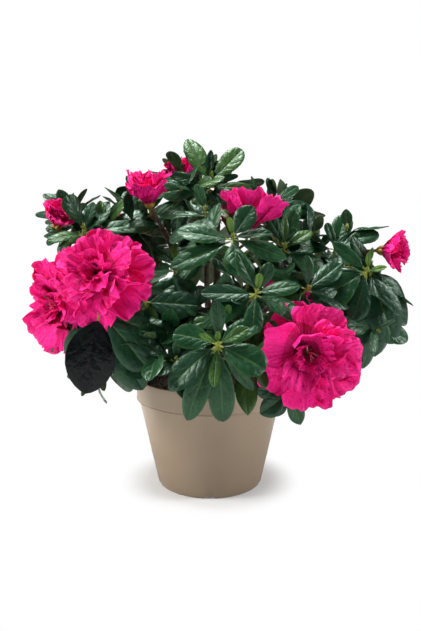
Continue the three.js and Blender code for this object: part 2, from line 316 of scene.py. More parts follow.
def makeMaterial(name, ownLook):
    look = {**usualLook, **ownLook}
    made = bpy.data.materials.new(name)
    made.use_nodes = True
    tree = made.node_tree
    shader = tree.nodes["Principled BSDF"]
    mottle = placeNode(tree, "ShaderNodeGroup", {"node_tree": mottleGroup}, Main=(*look["main"], 1),
                       Second=(*look["second"], 1), Scale=look["scale"], Amount=look["amount"],
                       Specks=look["specks"])
    colour = mottle.outputs["Color"]
    grain = placeNode(tree, "ShaderNodeGroup", {"node_tree": grainGroup}, Smooth=look["smooth"],
                      Rough=look["rough"])
    grain.inputs["Fine Scale"].default_value = look["fine"]
    grain.inputs["Broad Scale"].default_value = look["broad"]
    grain.inputs["Broad Share"].default_value = look["share"]
    height = grain.outputs["Height"]
    if "veins" in look:
        veins = placeNode(tree, "ShaderNodeGroup", {"node_tree": veinGroup})
        for socket, value in look["veins"].items():
            veins.inputs[socket].default_value = value
        mix = placeNode(tree, "ShaderNodeMix", {"data_type": "FLOAT"}, Factor=look["veinShare"],
                        A=height, B=veins.outputs["Height"])
        height = mix.outputs[0]
        amount = placeNode(tree, "ShaderNodeMath", {"operation": "MULTIPLY"}, _0=veins.outputs["Mask"],
                           _1=look["veinAmount"])
        tint = placeNode(tree, "ShaderNodeMix", {"data_type": "RGBA"}, Factor=amount.outputs[0])
        tree.links.new(colour, tint.inputs[6])
        tint.inputs[7].default_value = (*look["veinTint"], 1)
        colour = tint.outputs[2]
    bump = placeNode(tree, "ShaderNodeBump", Strength=look["bump"], Distance=look["depth"], Height=height)
    tree.links.new(colour, shader.inputs["Base Color"])
    tree.links.new(grain.outputs["Roughness"], shader.inputs["Roughness"])
    tree.links.new(bump.outputs["Normal"], shader.inputs["Normal"])
    for socket, value in look["plain"].items():
        shader.inputs[socket].default_value = value
    return made


leafGloss = {"smooth": 0.26, "rough": 0.46, "fine": 1400, "broad": 260, "share": 0.9, "bump": 0.6,
             "depth": 0.0012, "scale": 90, "amount": 0.9, "specks": 0.3, "veinShare": 0.3, "veinAmount": 0.2,
             "veins": {"Count": 5.0, "Slant": 1.4, "Rib Width": 0.14, "Wander": 0.9},
             "plain": {"Specular IOR Level": 0.36, "Specular Tint": (0.72, 1, 0.78, 1)}}
petalSoft = {"scale": 130, "amount": 0.6, "specks": 0.3, "smooth": 0.44, "rough": 0.62, "fine": 1300,
             "broad": 300, "share": 0.6, "bump": 0.95, "depth": 0.002, "veinShare": 0.28, "veinAmount": 0.16,
             "veinTint": (0.4, 0.002, 0.1),
             "veins": {"Count": 3.0, "Slant": 7.0, "Rib Width": 0.06, "Wander": 2.6},
             "plain": {"Sheen Weight": 0.06, "Sheen Roughness": 0.4, "Sheen Tint": (1, 0.2, 0.6, 1),
                       "Specular IOR Level": 0.2}}
looks = {
    "potPlastic": {"main": (0.282, 0.211, 0.143), "second": (0.256, 0.19, 0.127), "scale": 14, "amount": 0.6,
                   "specks": 0.12, "smooth": 0.42, "rough": 0.52, "fine": 1600, "broad": 26, "share": 0.4,
                   "bump": 0.12, "depth": 0.0003},
    "compostPeat": {"main": (0.018, 0.012, 0.009), "second": (0.05, 0.03, 0.018), "scale": 160, "amount": 0.6,
                    "specks": 0.5, "smooth": 0.75, "rough": 1.0, "fine": 900, "broad": 300, "bump": 0.8,
                    "depth": 0.0015},
    "barkCrumb": {"main": (0.09, 0.045, 0.022), "second": (0.03, 0.017, 0.01), "scale": 220, "amount": 0.8,
                  "smooth": 0.7, "rough": 0.95, "fine": 1200, "bump": 0.6, "depth": 0.0008},
    "oldBark": {"main": (0.13, 0.085, 0.055), "second": (0.045, 0.03, 0.02), "scale": 180, "amount": 0.9,
                "specks": 0.4, "smooth": 0.7, "rough": 0.95, "fine": 1400, "broad": 320, "bump": 0.7,
                "depth": 0.0008},
    "youngBark": {"main": (0.075, 0.06, 0.025), "second": (0.035, 0.03, 0.016), "scale": 160, "amount": 0.8,
                  "specks": 0.3, "smooth": 0.5, "rough": 0.75, "fine": 1500, "bump": 0.4, "depth": 0.0004},
    "greenShoot": {"main": (0.26, 0.3, 0.035), "second": (0.12, 0.17, 0.025), "scale": 120, "amount": 0.8,
                   "smooth": 0.4, "rough": 0.6, "fine": 1500, "bump": 0.3, "depth": 0.0003},
    "leafDeep": {"main": (0.004, 0.024, 0.011), "second": (0.009, 0.042, 0.018),
                 "veinTint": (0.03, 0.08, 0.035),
                 **leafGloss},
    "leafMid": {"main": (0.01, 0.054, 0.018), "second": (0.005, 0.031, 0.012),
                "veinTint": (0.05, 0.12, 0.045),
                **leafGloss},
    "leafOlive": {"main": (0.044, 0.1, 0.016), "second": (0.018, 0.062, 0.014),
                  "veinTint": (0.12, 0.18, 0.05),
                  **leafGloss},
    "leafFresh": {"main": (0.12, 0.22, 0.022), "second": (0.05, 0.13, 0.018), "veinTint": (0.25, 0.33, 0.08),
                  **leafGloss},
    "leafBronze": {"main": (0.002, 0.002, 0.004), "second": (0.005, 0.008, 0.007),
                   "veinTint": (0.02, 0.008, 0.02),
                   **leafGloss, "smooth": 0.14, "rough": 0.3, "depth": 0.0014,
                   "plain": {"Specular IOR Level": 0.14}},
    "leafUnder": {"main": (0.05, 0.1, 0.03), "second": (0.032, 0.072, 0.02), "veinTint": (0.1, 0.16, 0.06),
                  **leafGloss, "smooth": 0.5, "rough": 0.7, "plain": {}},
    "leafRib": {"main": (0.03, 0.085, 0.02), "second": (0.014, 0.048, 0.014), "veinTint": (0.08, 0.15, 0.045),
                **leafGloss},
    "leafEdge": {"main": (0.028, 0.08, 0.02), "second": (0.012, 0.048, 0.014),
                 "veinTint": (0.08, 0.15, 0.045),
                 **leafGloss},
    # the petal's pink, then that pink with half and with deep painted shade, and lighter with a painted
    # highlight for the edge
    "petalPink": {"main": (1.0, 0.011, 0.285), "second": (0.9, 0.009, 0.24), **petalSoft},
    "petalHalfShade": {"main": (0.75, 0.006, 0.18), "second": (0.56, 0.004, 0.125), **petalSoft},
    "petalDeepShade": {"main": (0.42, 0.003, 0.09), "second": (0.2, 0.002, 0.04), **petalSoft},
    "petalEdgeHighlight": {"main": (0.98, 0.035, 0.31), "second": (0.88, 0.014, 0.24), **petalSoft},
    "filament": {"main": (0.9, 0.22, 0.4), "second": (0.8, 0.1, 0.28), "smooth": 0.4, "rough": 0.6},
    "anther": {"main": (0.25, 0.12, 0.1), "second": (0.12, 0.05, 0.05), "smooth": 0.6, "rough": 0.8},
    "budScale": {"main": (0.42, 0.19, 0.02), "second": (0.2, 0.22, 0.03), "scale": 260, "amount": 0.9,
                 "smooth": 0.45, "rough": 0.65},
}
finishes = {name: makeMaterial(name, look) for name, look in looks.items()}


# size: half its width; shadeReach: how far from the pot's axis the shade starts and stops fading out
# under painted white glow; glow: the least share of that painted glow, which lightens the contact shadow
floorSet = {"size": 6.0, "white": (0.86, 0.86, 0.86, 1), "rough": 0.9, "specular": 0.1,
            "shadeReach": (0.047, 0.083), "glow": 0.14}


def makeFloor():
    size = floorSet["size"]
    floor = makePiece("floor", [(-size, -size, 0), (size, -size, 0), (size, size, 0), (-size, size, 0)],
                      [(0, 1, 2, 3)], [])
    matte = bpy.data.materials.new("floorWhite")
    matte.use_nodes = True
    tree = matte.node_tree
    shader = tree.nodes["Principled BSDF"]
    shader.inputs["Base Color"].default_value = floorSet["white"]
    shader.inputs["Roughness"].default_value = floorSet["rough"]
    shader.inputs["Specular IOR Level"].default_value = floorSet["specular"]
    # painted light: the camera alone sees the floor glow plain white. Near the pot there is only the glow's
    # least share, which lightens the contact shadow. Further out the glow paints over the cast shadow, until
    # the floor runs out into the white of the room
    place = placeNode(tree, "ShaderNodeTexCoord")
    reach = placeNode(tree, "ShaderNodeVectorMath", {"operation": "LENGTH"}, _0=place.outputs["Object"])
    fade = remap(tree, reach.outputs["Value"], *floorSet["shadeReach"], floorSet["glow"], kind="SMOOTHSTEP")
    path = placeNode(tree, "ShaderNodeLightPath")
    share = placeNode(tree, "ShaderNodeMath", {"operation": "MULTIPLY"}, _0=fade,
                      _1=path.outputs["Is Camera Ray"])
    glow = placeNode(tree, "ShaderNodeEmission", Color=(1, 1, 1, 1), Strength=1.0)
    both = placeNode(tree, "ShaderNodeMixShader", _0=share.outputs[0], _1=shader.outputs[0],
                     _2=glow.outputs[0])
    tree.links.new(both.outputs[0], tree.nodes["Material Output"].inputs["Surface"])
    floor.data.materials.append(matte)
    floor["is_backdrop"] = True


def ringFaces(rings, around):
    # the faces between rings of points, and the faces that close the first ring and the last
    sides = []
    for low in range(0, (rings - 1) * around, around):
        high = low + around
        for i in range(around):
            j = (i + 1) % around
            sides.append((low + i, low + j, high + j, high + i))
    first = tuple(range(around - 1, -1, -1))
    last = tuple((rings - 1) * around + i for i in range(around))
    return sides, first, last


def arc(centre, radius, start, end, steps):
    # points round part of a circle, as (radius from the axis, height); angles in degrees, 0 is outwards
    angles = np.radians(np.linspace(start, end, steps + 1))
    return [(centre[0] + radius * math.cos(a), centre[1] + radius * math.sin(a)) for a in angles]


def lathe(profile, segments):
    # a closed form turned round the Z axis: its points by ring, and its faces
    angles = np.arange(segments) * 2 * math.pi / segments
    profile = np.asarray(profile)
    points = np.stack([np.outer(profile[:, 0], np.cos(angles)), np.outer(profile[:, 0], np.sin(angles)),
                       np.repeat(profile[:, 1:2], segments, 1)], -1)
    sides, first, last = ringFaces(len(profile), segments)
    return points, [*sides, first, last]


# axisGap: the radius of the small flat face on the axis; baseShare: the base's radius by the rim's; foot:
# how high the ring under the base lifts it; band: the wide top part, which steps out from the wall below it
potShape = {"wall": 2.2 * mm, "baseShare": 0.705, "baseRound": 2 * mm, "bandHeight": 20 * mm,
            "bandDraft": 1.2 * mm, "bandStep": 2.2 * mm, "bandRound": 0.6 * mm, "floor": 5 * mm,
            "foot": 2.2 * mm, "footWidth": 7 * mm, "lipRound": 0.9 * mm, "axisGap": 0.4 * mm, "segments": 180,
            "notches": 5, "notchWidth": 9 * mm}


def makePot():
    shape = potShape
    half = boxOf("pot")[1]
    height, rim = 2 * half[2], half[0]
    base = rim * shape["baseShare"]
    bandFoot = height - shape["bandHeight"]
    band = rim - shape["bandDraft"]
    neck = band - shape["bandStep"]
    lip = shape["lipRound"]
    wall, foot, floorTop, gap = shape["wall"], shape["foot"], shape["floor"], shape["axisGap"]
    footInner = base - shape["footWidth"]
    baseRound, bandRound = shape["baseRound"], shape["bandRound"]
    # from the axis out along the underside, up the outside, over the lip, and down the inside to the floor
    profile = [(gap, foot), (footInner - foot, foot), (footInner, 0.3 * mm), (footInner + 0.4 * mm, 0),
               (base - baseRound, 0), *arc((base - baseRound, baseRound), baseRound, -80, -8, 5),
               (base + (neck - base) * 0.33, bandFoot * 0.33), (base + (neck - base) * 0.66, bandFoot * 0.66),
               (neck - 0.05 * mm, bandFoot - 1.2 * mm), (neck + 0.1 * mm, bandFoot - 0.6 * mm),
               *arc((band - 0.3 * mm, bandFoot + 0.5 * mm), bandRound, -80, 60, 5),
               (band, bandFoot + 1.6 * mm), (rim - 0.5 * mm, height * 0.93),
               *arc((rim - lip, height - lip), lip, 0, 180, 8), (rim - wall, height - 2 * lip),
               (band - wall, bandFoot + 3 * mm), (neck - wall, bandFoot - 3 * mm),
               (base - wall + 1 * mm, floorTop + 3 * mm), (base - wall - 2 * mm, floorTop), (gap, floorTop)]
    segments = shape["segments"]
    points, faces = lathe(profile, segments)
    # the foot ring is lifted off the floor at each notch, so that the pot drains
    angles = np.arange(segments) * 2 * math.pi / segments
    for notch in range(shape["notches"]):
        turn = -math.pi / 2 + notch * 2 * math.pi / shape["notches"]
        away = np.abs((angles - turn + math.pi) % fullTurn - math.pi) * base
        inNotch = away < shape["notchWidth"] / 2
        low = points[:, :, 2] < foot
        points[low & inNotch[None, :], 2] = foot - 0.05 * mm
    declare(makePiece("potShell", points.reshape(-1, 3), faces, [finishes["potPlastic"]]), "pot", "pot")


# grow: how far it runs past its solid's side, to meet the pot; footShare: its width at the bottom by that
# at the top; ledge: how far below the top its side ends; dish and heap: how far the top dips halfway out,
# and at the wall
compostShape = {"rings": 46, "footRings": 6, "sideRings": 8, "segments": 120, "grow": 0.15 * mm,
                "footShare": 0.75, "ledge": 3 * mm, "dish": 2.6 * mm, "heap": 2.2 * mm, "bump": 2.2 * mm}
crumbShape = {"count": 1500, "size": (0.8 * mm, 2.6 * mm), "uneven": 0.16, "tip": 0.4, "barkOdds": 0.6,
              "length": (0.6, 1.5), "width": (0.4, 0.9), "thickness": (0.3, 0.6)}


def makeCompost():
    shape = compostShape
    centre, half = boxOf("compost")
    radius, top, bottom = half[0] + shape["grow"], centre[2] + half[2], centre[2] - half[2]
    rings, footRings, sideSteps = shape["rings"], shape["footRings"], shape["sideRings"]
    segments, footShare = shape["segments"], shape["footShare"]
    profile = [(0.74 * radius * (i + 0.2) / footRings, bottom) for i in range(footRings)]
    profile.append((footShare * radius, bottom + 1 * mm))
    for i in range(1, sideSteps + 1):
        profile.append((radius * (footShare + (1 - footShare) * i / sideSteps),
                        bottom + (top - shape["ledge"] - bottom) * i / sideSteps))
    sideRings = len(profile)
    for i in range(1, rings + 1):
        share = 1 - i / (rings + 0.5)
        dip = shape["dish"] * math.sin(math.pi * min(share * 1.05, 1)) ** 2 + shape["heap"] * share ** 8
        profile.append((radius * share, top - dip))
    points, faces = lathe(profile, segments)
    for ring in range(sideRings, len(profile)):
        share = profile[ring][0] / radius
        for i in range(segments):
            spot = Vector(points[ring, i])
            lump = noise.fractal(spot * 130, 1.0, 2.0, 4) * 0.7 + noise.noise(spot * 520) * 0.35
            points[ring, i, 2] += (lump - 0.35) * shape["bump"] * min(1, (1 - share) * 14 + 0.15)
    bed = makePiece("compostBed", points.reshape(-1, 3), faces, [finishes["compostPeat"]])
    declare(bed, "compost", "compost")
    scatterCrumbs(points[sideRings + 2:].reshape(-1, 3), radius)


def scatterCrumbs(ground, radius):
    # crumbs of bark and peat spread over the top, each a squashed eight-sided form
    shape = crumbShape
    rng = np.random.default_rng(41)
    form = np.array([(0, 0, 1), (0.9, 0, 0.1), (0.1, 0.8, 0), (-0.85, 0.1, 0.1), (-0.1, -0.9, 0),
                     (0.1, 0, -0.9)])
    formFaces = [(0, 1, 2), (0, 2, 3), (0, 3, 4), (0, 4, 1), (5, 2, 1), (5, 3, 2), (5, 4, 3), (5, 1, 4)]
    crumbs = Bundle()
    for attempt in range(shape["count"]):
        spot = ground[rng.integers(len(ground))]
        if rng.random() > np.hypot(spot[0], spot[1]) / radius * 1.25:
            continue
        size = rng.uniform(*shape["size"])
        stretch = size * np.array([rng.uniform(*shape[side]) for side in ("length", "width", "thickness")])
        turnBy, tip = rng.uniform(0, fullTurn), rng.normal(0, shape["tip"])
        local = form * (1 + rng.normal(0, shape["uneven"], form.shape)) * stretch
        local = np.array([turned(turned(p, np.array([1.0, 0, 0]), tip), up, turnBy) for p in local])
        if math.hypot(spot[0], spot[1]) + size * 1.6 > radius:
            continue
        crumbs.add(local + spot + up * size * 0.2, formFaces, int(rng.random() < shape["barkOdds"]))
    declare(crumbs.make("compostCrumbs", [finishes["barkCrumb"], finishes["compostPeat"]]), "compost")


def curveFit(points, start):
    # terms of the bent line through the middle of a limb's solid, of its radius along the way, and its length
    along = np.linalg.norm(points - start, axis=1)
    terms = np.stack([np.ones_like(along), along, along ** 2], 1)
    middle = np.linalg.lstsq(terms, points, rcond=None)[0]
    off = np.linalg.norm(points - terms @ middle, axis=1)
    slope = np.linalg.lstsq(terms[:, :2], off, rcond=None)[0]
    return middle, slope, along.max()


class Limbs:
    # every woody line of the plant: where a new twig may start, its direction and its thickness there
    def __init__(self):
        self.points, self.ways, self.radii = [], [], []

    def add(self, line, radii):
        ways = np.gradient(line, axis=0)
        ways /= np.linalg.norm(ways, axis=1)[:, None]
        self.points += list(line)
        self.ways += list(ways)
        self.radii += list(radii)


def tube(line, radii, sides, relief=None):
    # a closed round tube along a line: its points and faces. relief swells it by ring number and angle.
    ways = np.gradient(line, axis=0)
    ways /= np.maximum(np.linalg.norm(ways, axis=1)[:, None], 1e-9)
    side = squareTo(np.array([0.83, 0.31, 0.2]), ways[0])
    points = []
    angles = np.arange(sides) * 2 * math.pi / sides
    for i, way in enumerate(ways):
        side = squareTo(side, way)
        other = np.cross(way, side)
        size = np.full(sides, radii[i])
        if relief is not None:
            size = size * relief(i, angles)
        points.append(line[i] + np.outer(size * np.cos(angles), side)
                      + np.outer(size * np.sin(angles), other))
    quads, first, last = ringFaces(len(line), sides)
    return np.concatenate(points), [first, *quads, last]


class Bundle:
    # many closed forms gathered into one mesh
    def __init__(self):
        self.points, self.faces, self.looks, self.count = [], [], [], 0

    def add(self, points, faces, look=0):
        self.points.append(points)
        self.faces += [tuple(v + self.count for v in face) for face in faces]
        self.looks += [look] * len(faces) if isinstance(look, int) else list(look)
        self.count += len(points)

    def make(self, name, materials):
        return makePiece(name, np.concatenate(self.points), self.faces, materials, self.looks)


# butt: the radius at the foot by that at the tip; flare: what swells the very foot, and falls off with
# height; buttress: how far the flare runs out into lobes
trunkShape = {"rings": 26, "sides": 28, "sway": (-1.5 * mm, 1.0 * mm, 0), "butt": 1.2, "taper": 0.2,
              "flare": 0.62, "flareFall": 9, "buttress": 0.16, "buttresses": 5}
# past: how far each runs past the end of its solid; collar: how much thicker it is where it leaves the trunk
boughShape = {"sides": 14, "step": 5 * mm, "past": 4 * mm, "wander": 0.35 * mm, "thinnest": 1.4 * mm,
              "collar": 1.25}
barkRelief = {"voxel": 0.8 * mm, "depth": 0.55 * mm, "ridgeAcross": 700, "ridgeAlong": 160,
              "crackAcross": 380, "crackAlong": 260}


def wander(line, step, rng):
    # shakes a line between its two ends, which stay where they are
    drift = np.cumsum(rng.normal(0, step, line.shape), 0)
    line[1:-1] += (drift - np.linspace(drift[0], drift[-1], len(drift)))[1:-1]


def makeWoodyFrame(limbs):
    shape = trunkShape
    trunk = cadPoints("trunk")
    low, high = trunk[:, 2].min(), trunk[:, 2].max()
    foot = trunk[trunk[:, 2] < low + 0.5 * mm].mean(0)
    tip = trunk[trunk[:, 2] > high - 2.5 * mm].mean(0)
    tipRadius = np.linalg.norm((trunk[trunk[:, 2] > high - 2.5 * mm] - tip), axis=1).mean()
    share = np.linspace(0, 1, shape["rings"])[:, None]
    line = foot + (tip - foot) * share + np.array(shape["sway"]) * np.sin(share * math.pi)
    flare = shape["flare"] * np.exp(-share[:, 0] * shape["flareFall"])
    radii = tipRadius * (shape["butt"] - shape["taper"] * share[:, 0] + flare)

    def flareLobes(i, angles):
        # the root flare runs out into a few buttresses
        spread = math.exp(-i / shape["rings"] * shape["flareFall"] * 0.8)
        lobes = spread * shape["buttress"] * np.cos(shape["buttresses"] * angles + 0.7)
        return 1 + lobes + 0.03 * np.sin(3 * angles + i * 0.4)

    wood = Bundle()
    wood.add(*tube(line, radii, shape["sides"], flareLobes))
    limbs.add(line, radii)
    for name in nodesNamed("bough_"):
        points = cadPoints(name)
        start = line[np.argmin([np.linalg.norm(points - p, axis=1).min() for p in line])]
        middle, slope, reach = curveFit(points, start)
        along = np.linspace(0, reach + boughShape["past"], max(8, int(reach / boughShape["step"])))
        path = np.stack([np.ones_like(along), along, along ** 2], 1) @ middle
        path[0] = start
        wander(path, boughShape["wander"], np.random.default_rng(len(name) * 7 + 3))
        size = np.maximum(slope[0] + slope[1] * along, boughShape["thinnest"])
        size[0] *= boughShape["collar"]
        wood.add(*tube(path, size, boughShape["sides"]))
        limbs.add(path[2:], size[2:])
    wooden = wood.make("woodyFrame", [finishes["oldBark"]])
    # one skin over the trunk and its boughs
    remesh = wooden.modifiers.new("join", "REMESH")
    remesh.mode = "VOXEL"
    remesh.voxel_size = barkRelief["voxel"]
    depsgraph = bpy.context.evaluated_depsgraph_get()
    joined = bpy.data.meshes.new_from_object(wooden.evaluated_get(depsgraph))
    wooden.modifiers.clear()
    wooden.data = joined
    raiseBark(joined, low + 0.5 * mm)
    joined.materials.clear()
    joined.materials.append(finishes["oldBark"])
    for polygon in joined.polygons:
        polygon.use_smooth = True
    declare(wooden, "bark", "trunk", *nodesNamed("bough_"))


def raiseBark(mesh, bottom):
    # flaking bark: ridges that run along the wood, broken by cracks
    shape = barkRelief
    ridgeAcross, crackAcross = shape["ridgeAcross"], shape["crackAcross"]
    normals = [vertex.normal.copy() for vertex in mesh.vertices]
    for vertex, normal in zip(mesh.vertices, normals):
        spot = vertex.co
        ridgeSpot = Vector((spot.x * ridgeAcross, spot.y * ridgeAcross, spot.z * shape["ridgeAlong"]))
        crackSpot = Vector((spot.x * crackAcross + 9, spot.y * crackAcross, spot.z * shape["crackAlong"]))
        lift = noise.noise(ridgeSpot) * 0.6 + min(abs(noise.noise(crackSpot)) * 2.2, 0.6) - 0.35
        if spot.z > bottom:
            vertex.co = spot + normal * lift * shape["depth"]


twigSlots = ["youngBark", "greenShoot", "budScale"]
brown, green, scaly = range(3)

# bendCost: how much dearer a start that heads the wrong way is; thinning: radius that a twig gains for
# each metre back from its tip; leave and arrive: how firmly its two ends keep their directions
twigShape = {"tip": 1.2 * mm, "thinning": 0.016, "bendCost": 0.55, "shortest": 6 * mm, "shortCost": 0.05,
             "step": 4 * mm, "wander": 0.4 * mm, "leave": 0.8, "arrive": 0.7, "sides": 7}


def growTwig(limbs, twigs, target, arrival, tipRadius, rng):
    # the twig from the wood that reaches the target with the least length and bend
    shape = twigShape
    points, ways = np.array(limbs.points), np.array(limbs.ways)
    gap = target - points
    length = np.linalg.norm(gap, axis=1)
    ahead = np.einsum("ij,ij->i", gap, ways) / np.maximum(length, 1e-6)
    tooShort = np.where(length < shape["shortest"], shape["shortCost"], 0)
    cost = length * (1 + shape["bendCost"] - shape["bendCost"] * ahead) + tooShort
    best = int(np.argmin(cost))
    start, way, thick = points[best], ways[best], limbs.radii[best]
    span = length[best]
    leave = unit(way * 0.7 + unit(gap[best]))
    steps = max(5, int(span / shape["step"]))
    t = np.linspace(0, 1, steps)[:, None]
    fromStart, toTarget = 2 * t ** 3 - 3 * t ** 2 + 1, -2 * t ** 3 + 3 * t ** 2
    bendOut, bendIn = t ** 3 - 2 * t ** 2 + t, t ** 3 - t ** 2
    line = fromStart * start + toTarget * target
    line = line + bendOut * leave * span * shape["leave"] + bendIn * arrival * span * shape["arrive"]
    wander(line, shape["wander"], rng)
    startRadius = min(thick * 0.85, tipRadius + span * shape["thinning"])
    radii = startRadius + (tipRadius - startRadius) * t[:, 0] ** 0.8
    limbs.add(line[1:], radii[1:])
    twigs.add(*tube(line, radii, shape["sides"]), brown)


# along, across: where the rows and columns of a leaf's mesh lie; stalk: its share of the length
leafForm = {
    "along": [0, 0.05, 0.1, 0.17, 0.26, 0.36, 0.47, 0.58, 0.69, 0.79, 0.87, 0.93, 0.975, 1],
    "across": [-1, -0.88, -0.5, -0.06, 0.06, 0.5, 0.88, 1],
    "stalk": 0.1, "stalkWidth": 1.5 * mm, "thickness": 0.4 * mm, "pillow": 0.1, "groove": 0.4 * mm,
    "grooveWidth": 0.2, "quilts": 3.5, "quiltSlant": 0.8,
}
leafU = np.array(leafForm["along"])[:, None]
leafV = np.array(leafForm["across"])[None, :]


def bladeTopology(u, v):
    # faces of a closed blade: a grid above, and one below that shares its rim
    rows, columns = u.size, v.size
    above = np.arange(rows * columns).reshape(rows, columns)
    below = above.copy()
    inner = (rows - 2) * (columns - 2)
    below[1:-1, 1:-1] = rows * columns + np.arange(inner).reshape(rows - 2, columns - 2)
    i, j = [grid.ravel() for grid in np.meshgrid(np.arange(rows - 1), np.arange(columns - 1), indexing="ij")]
    upper = np.stack([above[i, j], above[i, j + 1], above[i + 1, j + 1], above[i + 1, j]], 1)
    lower = np.stack([below[i, j], below[i + 1, j], below[i + 1, j + 1], below[i, j + 1]], 1)
    onRim = np.zeros(rows * columns + inner, bool)
    onRim[above[0]] = onRim[above[-1]] = onRim[above[:, 0]] = onRim[above[:, -1]] = True
    place = np.stack(np.broadcast_arrays(v * 0.5 + 0.5, u), -1)
    uv = np.concatenate([place.reshape(-1, 2), place[1:-1, 1:-1].reshape(-1, 2)])
    return {"quads": np.concatenate([upper, lower]), "under": np.repeat([False, True], len(i)),
            "row": np.tile(i, 2), "column": np.tile(j, 2), "rim": onRim, "uv": uv}


leafMesh = bladeTopology(leafU, leafV)


def joinBlades(name, blade, points, looks, slots):
    # many blades of one make as one mesh, with sharp rims
    count, size = len(points), len(blade["rim"])
    quads = (blade["quads"][None] + (np.arange(count) * size)[:, None, None]).reshape(-1, 4)

    def onRim(ends):
        return blade["rim"][ends[:, 0] % size] & blade["rim"][ends[:, 1] % size]

    materials = [finishes[slot] for slot in slots]
    return makePiece(name, np.concatenate(points), quads, materials, np.concatenate(looks), onRim,
                     blade["uv"])


def leafPoints(base, way, face, leaf):
    # way: where the leaf points; face: the side that its upper surface looks to
    length, width, bend = leaf["length"], leaf["width"], leaf["bend"]
    across = np.cross(way, face)
    u, v = leafU, leafV
    t = np.clip((u - leafForm["stalk"]) / (1 - leafForm["stalk"]), 0, 1)
    taper, blunt = leaf["taper"], leaf["blunt"]
    widest = taper / (taper + blunt)
    outline = t ** taper * (1 - t) ** blunt / (widest ** taper * (1 - widest) ** blunt)
    half = np.maximum(outline * width / 2, (leafForm["stalkWidth"] / 2) * np.where(u > 0.5, 0.3, 1))
    theta = bend * u ** 1.3
    step = np.diff(u[:, 0], prepend=0) * length
    forward = np.cumsum(np.cos(theta[:, 0]) * step)[:, None]
    drop = -np.cumsum(np.sin(theta[:, 0]) * step)[:, None]
    broad = np.clip(outline, 0, 1)
    aside = np.abs(v)
    # each half is folded up and rolled back at its edge, and it is pillowed, with a groove along the midrib
    lift = half * (leaf["fold"] * aside - leaf["recurve"] * aside ** 3)
    lift = lift + leafForm["pillow"] * half * broad * np.sin(np.pi * aside) ** 2
    lift = lift - leafForm["groove"] * broad * np.exp(-(v / leafForm["grooveWidth"]) ** 2)
    # waves along the edge, and the quilting between the side veins
    lift = lift + leaf["wave"] * np.sin(leaf["waves"] * np.pi * u + leaf["phase"] + v) * aside ** 1.5 * broad
    quilting = np.cos(2 * np.pi * (leafForm["quilts"] * u - leafForm["quiltSlant"] * aside))
    lift = lift + leaf["quilt"] * quilting * np.sin(np.pi * aside) * broad
    swing = leaf["sway"] * length * u ** 2
    twist = leaf["twist"] * u
    x = half * v * np.cos(twist) - lift * np.sin(twist) + swing
    z = half * v * np.sin(twist) + lift * np.cos(twist)
    normalWay = np.cos(theta)[..., None] * face + np.sin(theta)[..., None] * way
    top = base + forward[..., None] * way + drop[..., None] * face
    top = top + x[..., None] * across + z[..., None] * normalWay
    bottom = top[1:-1, 1:-1] - normalWay[1:-1] * leafForm["thickness"]
    return np.concatenate([top.reshape(-1, 3), bottom.reshape(-1, 3)])


leafTints = ["leafDeep", "leafMid", "leafOlive", "leafFresh", "leafBronze"]
deep, mid, olive, fresh, bronze = range(5)
leafSlots = [*leafTints, "leafUnder", "leafRib", "leafEdge", "greenShoot"]


def leafLooks(tint):
    # each face's material: the blade by its tint, the midrib, the pale edge, the underside and the stalk
    looks = np.full(len(leafMesh["quads"]), tint)
    middle = leafMesh["column"] == (leafV.size - 2) // 2
    edge = (leafMesh["column"] == 0) | (leafMesh["column"] == leafV.size - 2)
    if tint != bronze:
        looks[middle & (leafMesh["row"] < leafU.size - 4)] = leafSlots.index("leafRib")
    if tint in (mid, olive):
        looks[edge] = leafSlots.index("leafEdge")
    looks[leafMesh["under"]] = leafSlots.index("leafUnder")
    looks[leafMesh["row"] < 2] = leafSlots.index("greenShoot")
    return looks


leafLookOf = [leafLooks(tint) for tint in range(len(leafTints))]


class Foliage:
    # the leaves of one region
    def __init__(self):
        self.points, self.looks = [], []

    def add(self, points, tint):
        self.points.append(points)
        self.looks.append(leafLookOf[tint])


# what a leaf keeps out of: the pot with a little room round it, and a share of the space of each bloom
keepOut = {"besidePot": 1.2 * mm, "abovePot": 0.5 * mm, "bloomShare": 0.66}
potRim = boxOf("pot")[1][0] + keepOut["besidePot"]
potTop = boxOf("pot")[0][2] + boxOf("pot")[1][2]
bloomBalls = [(boxOf(name)[0], boxOf(name)[1].max() * keepOut["bloomShare"])
              for name in nodesNamed("bloom_") + nodesNamed("bud_")]


def leafIsFree(points):
    # tested on some of the upper side's points, past the stalk
    upper = points[: leafU.size * leafV.size].reshape(leafU.size, leafV.size, 3)
    tested = upper[2:, ::3].reshape(-1, 3)
    reach = np.hypot(tested[:, 0], tested[:, 1])
    if np.any((reach < potRim) & (tested[:, 2] < potTop + keepOut["abovePot"])):
        return False
    return all(np.linalg.norm(tested - centre, axis=1).min() > radius for centre, radius in bloomBalls)


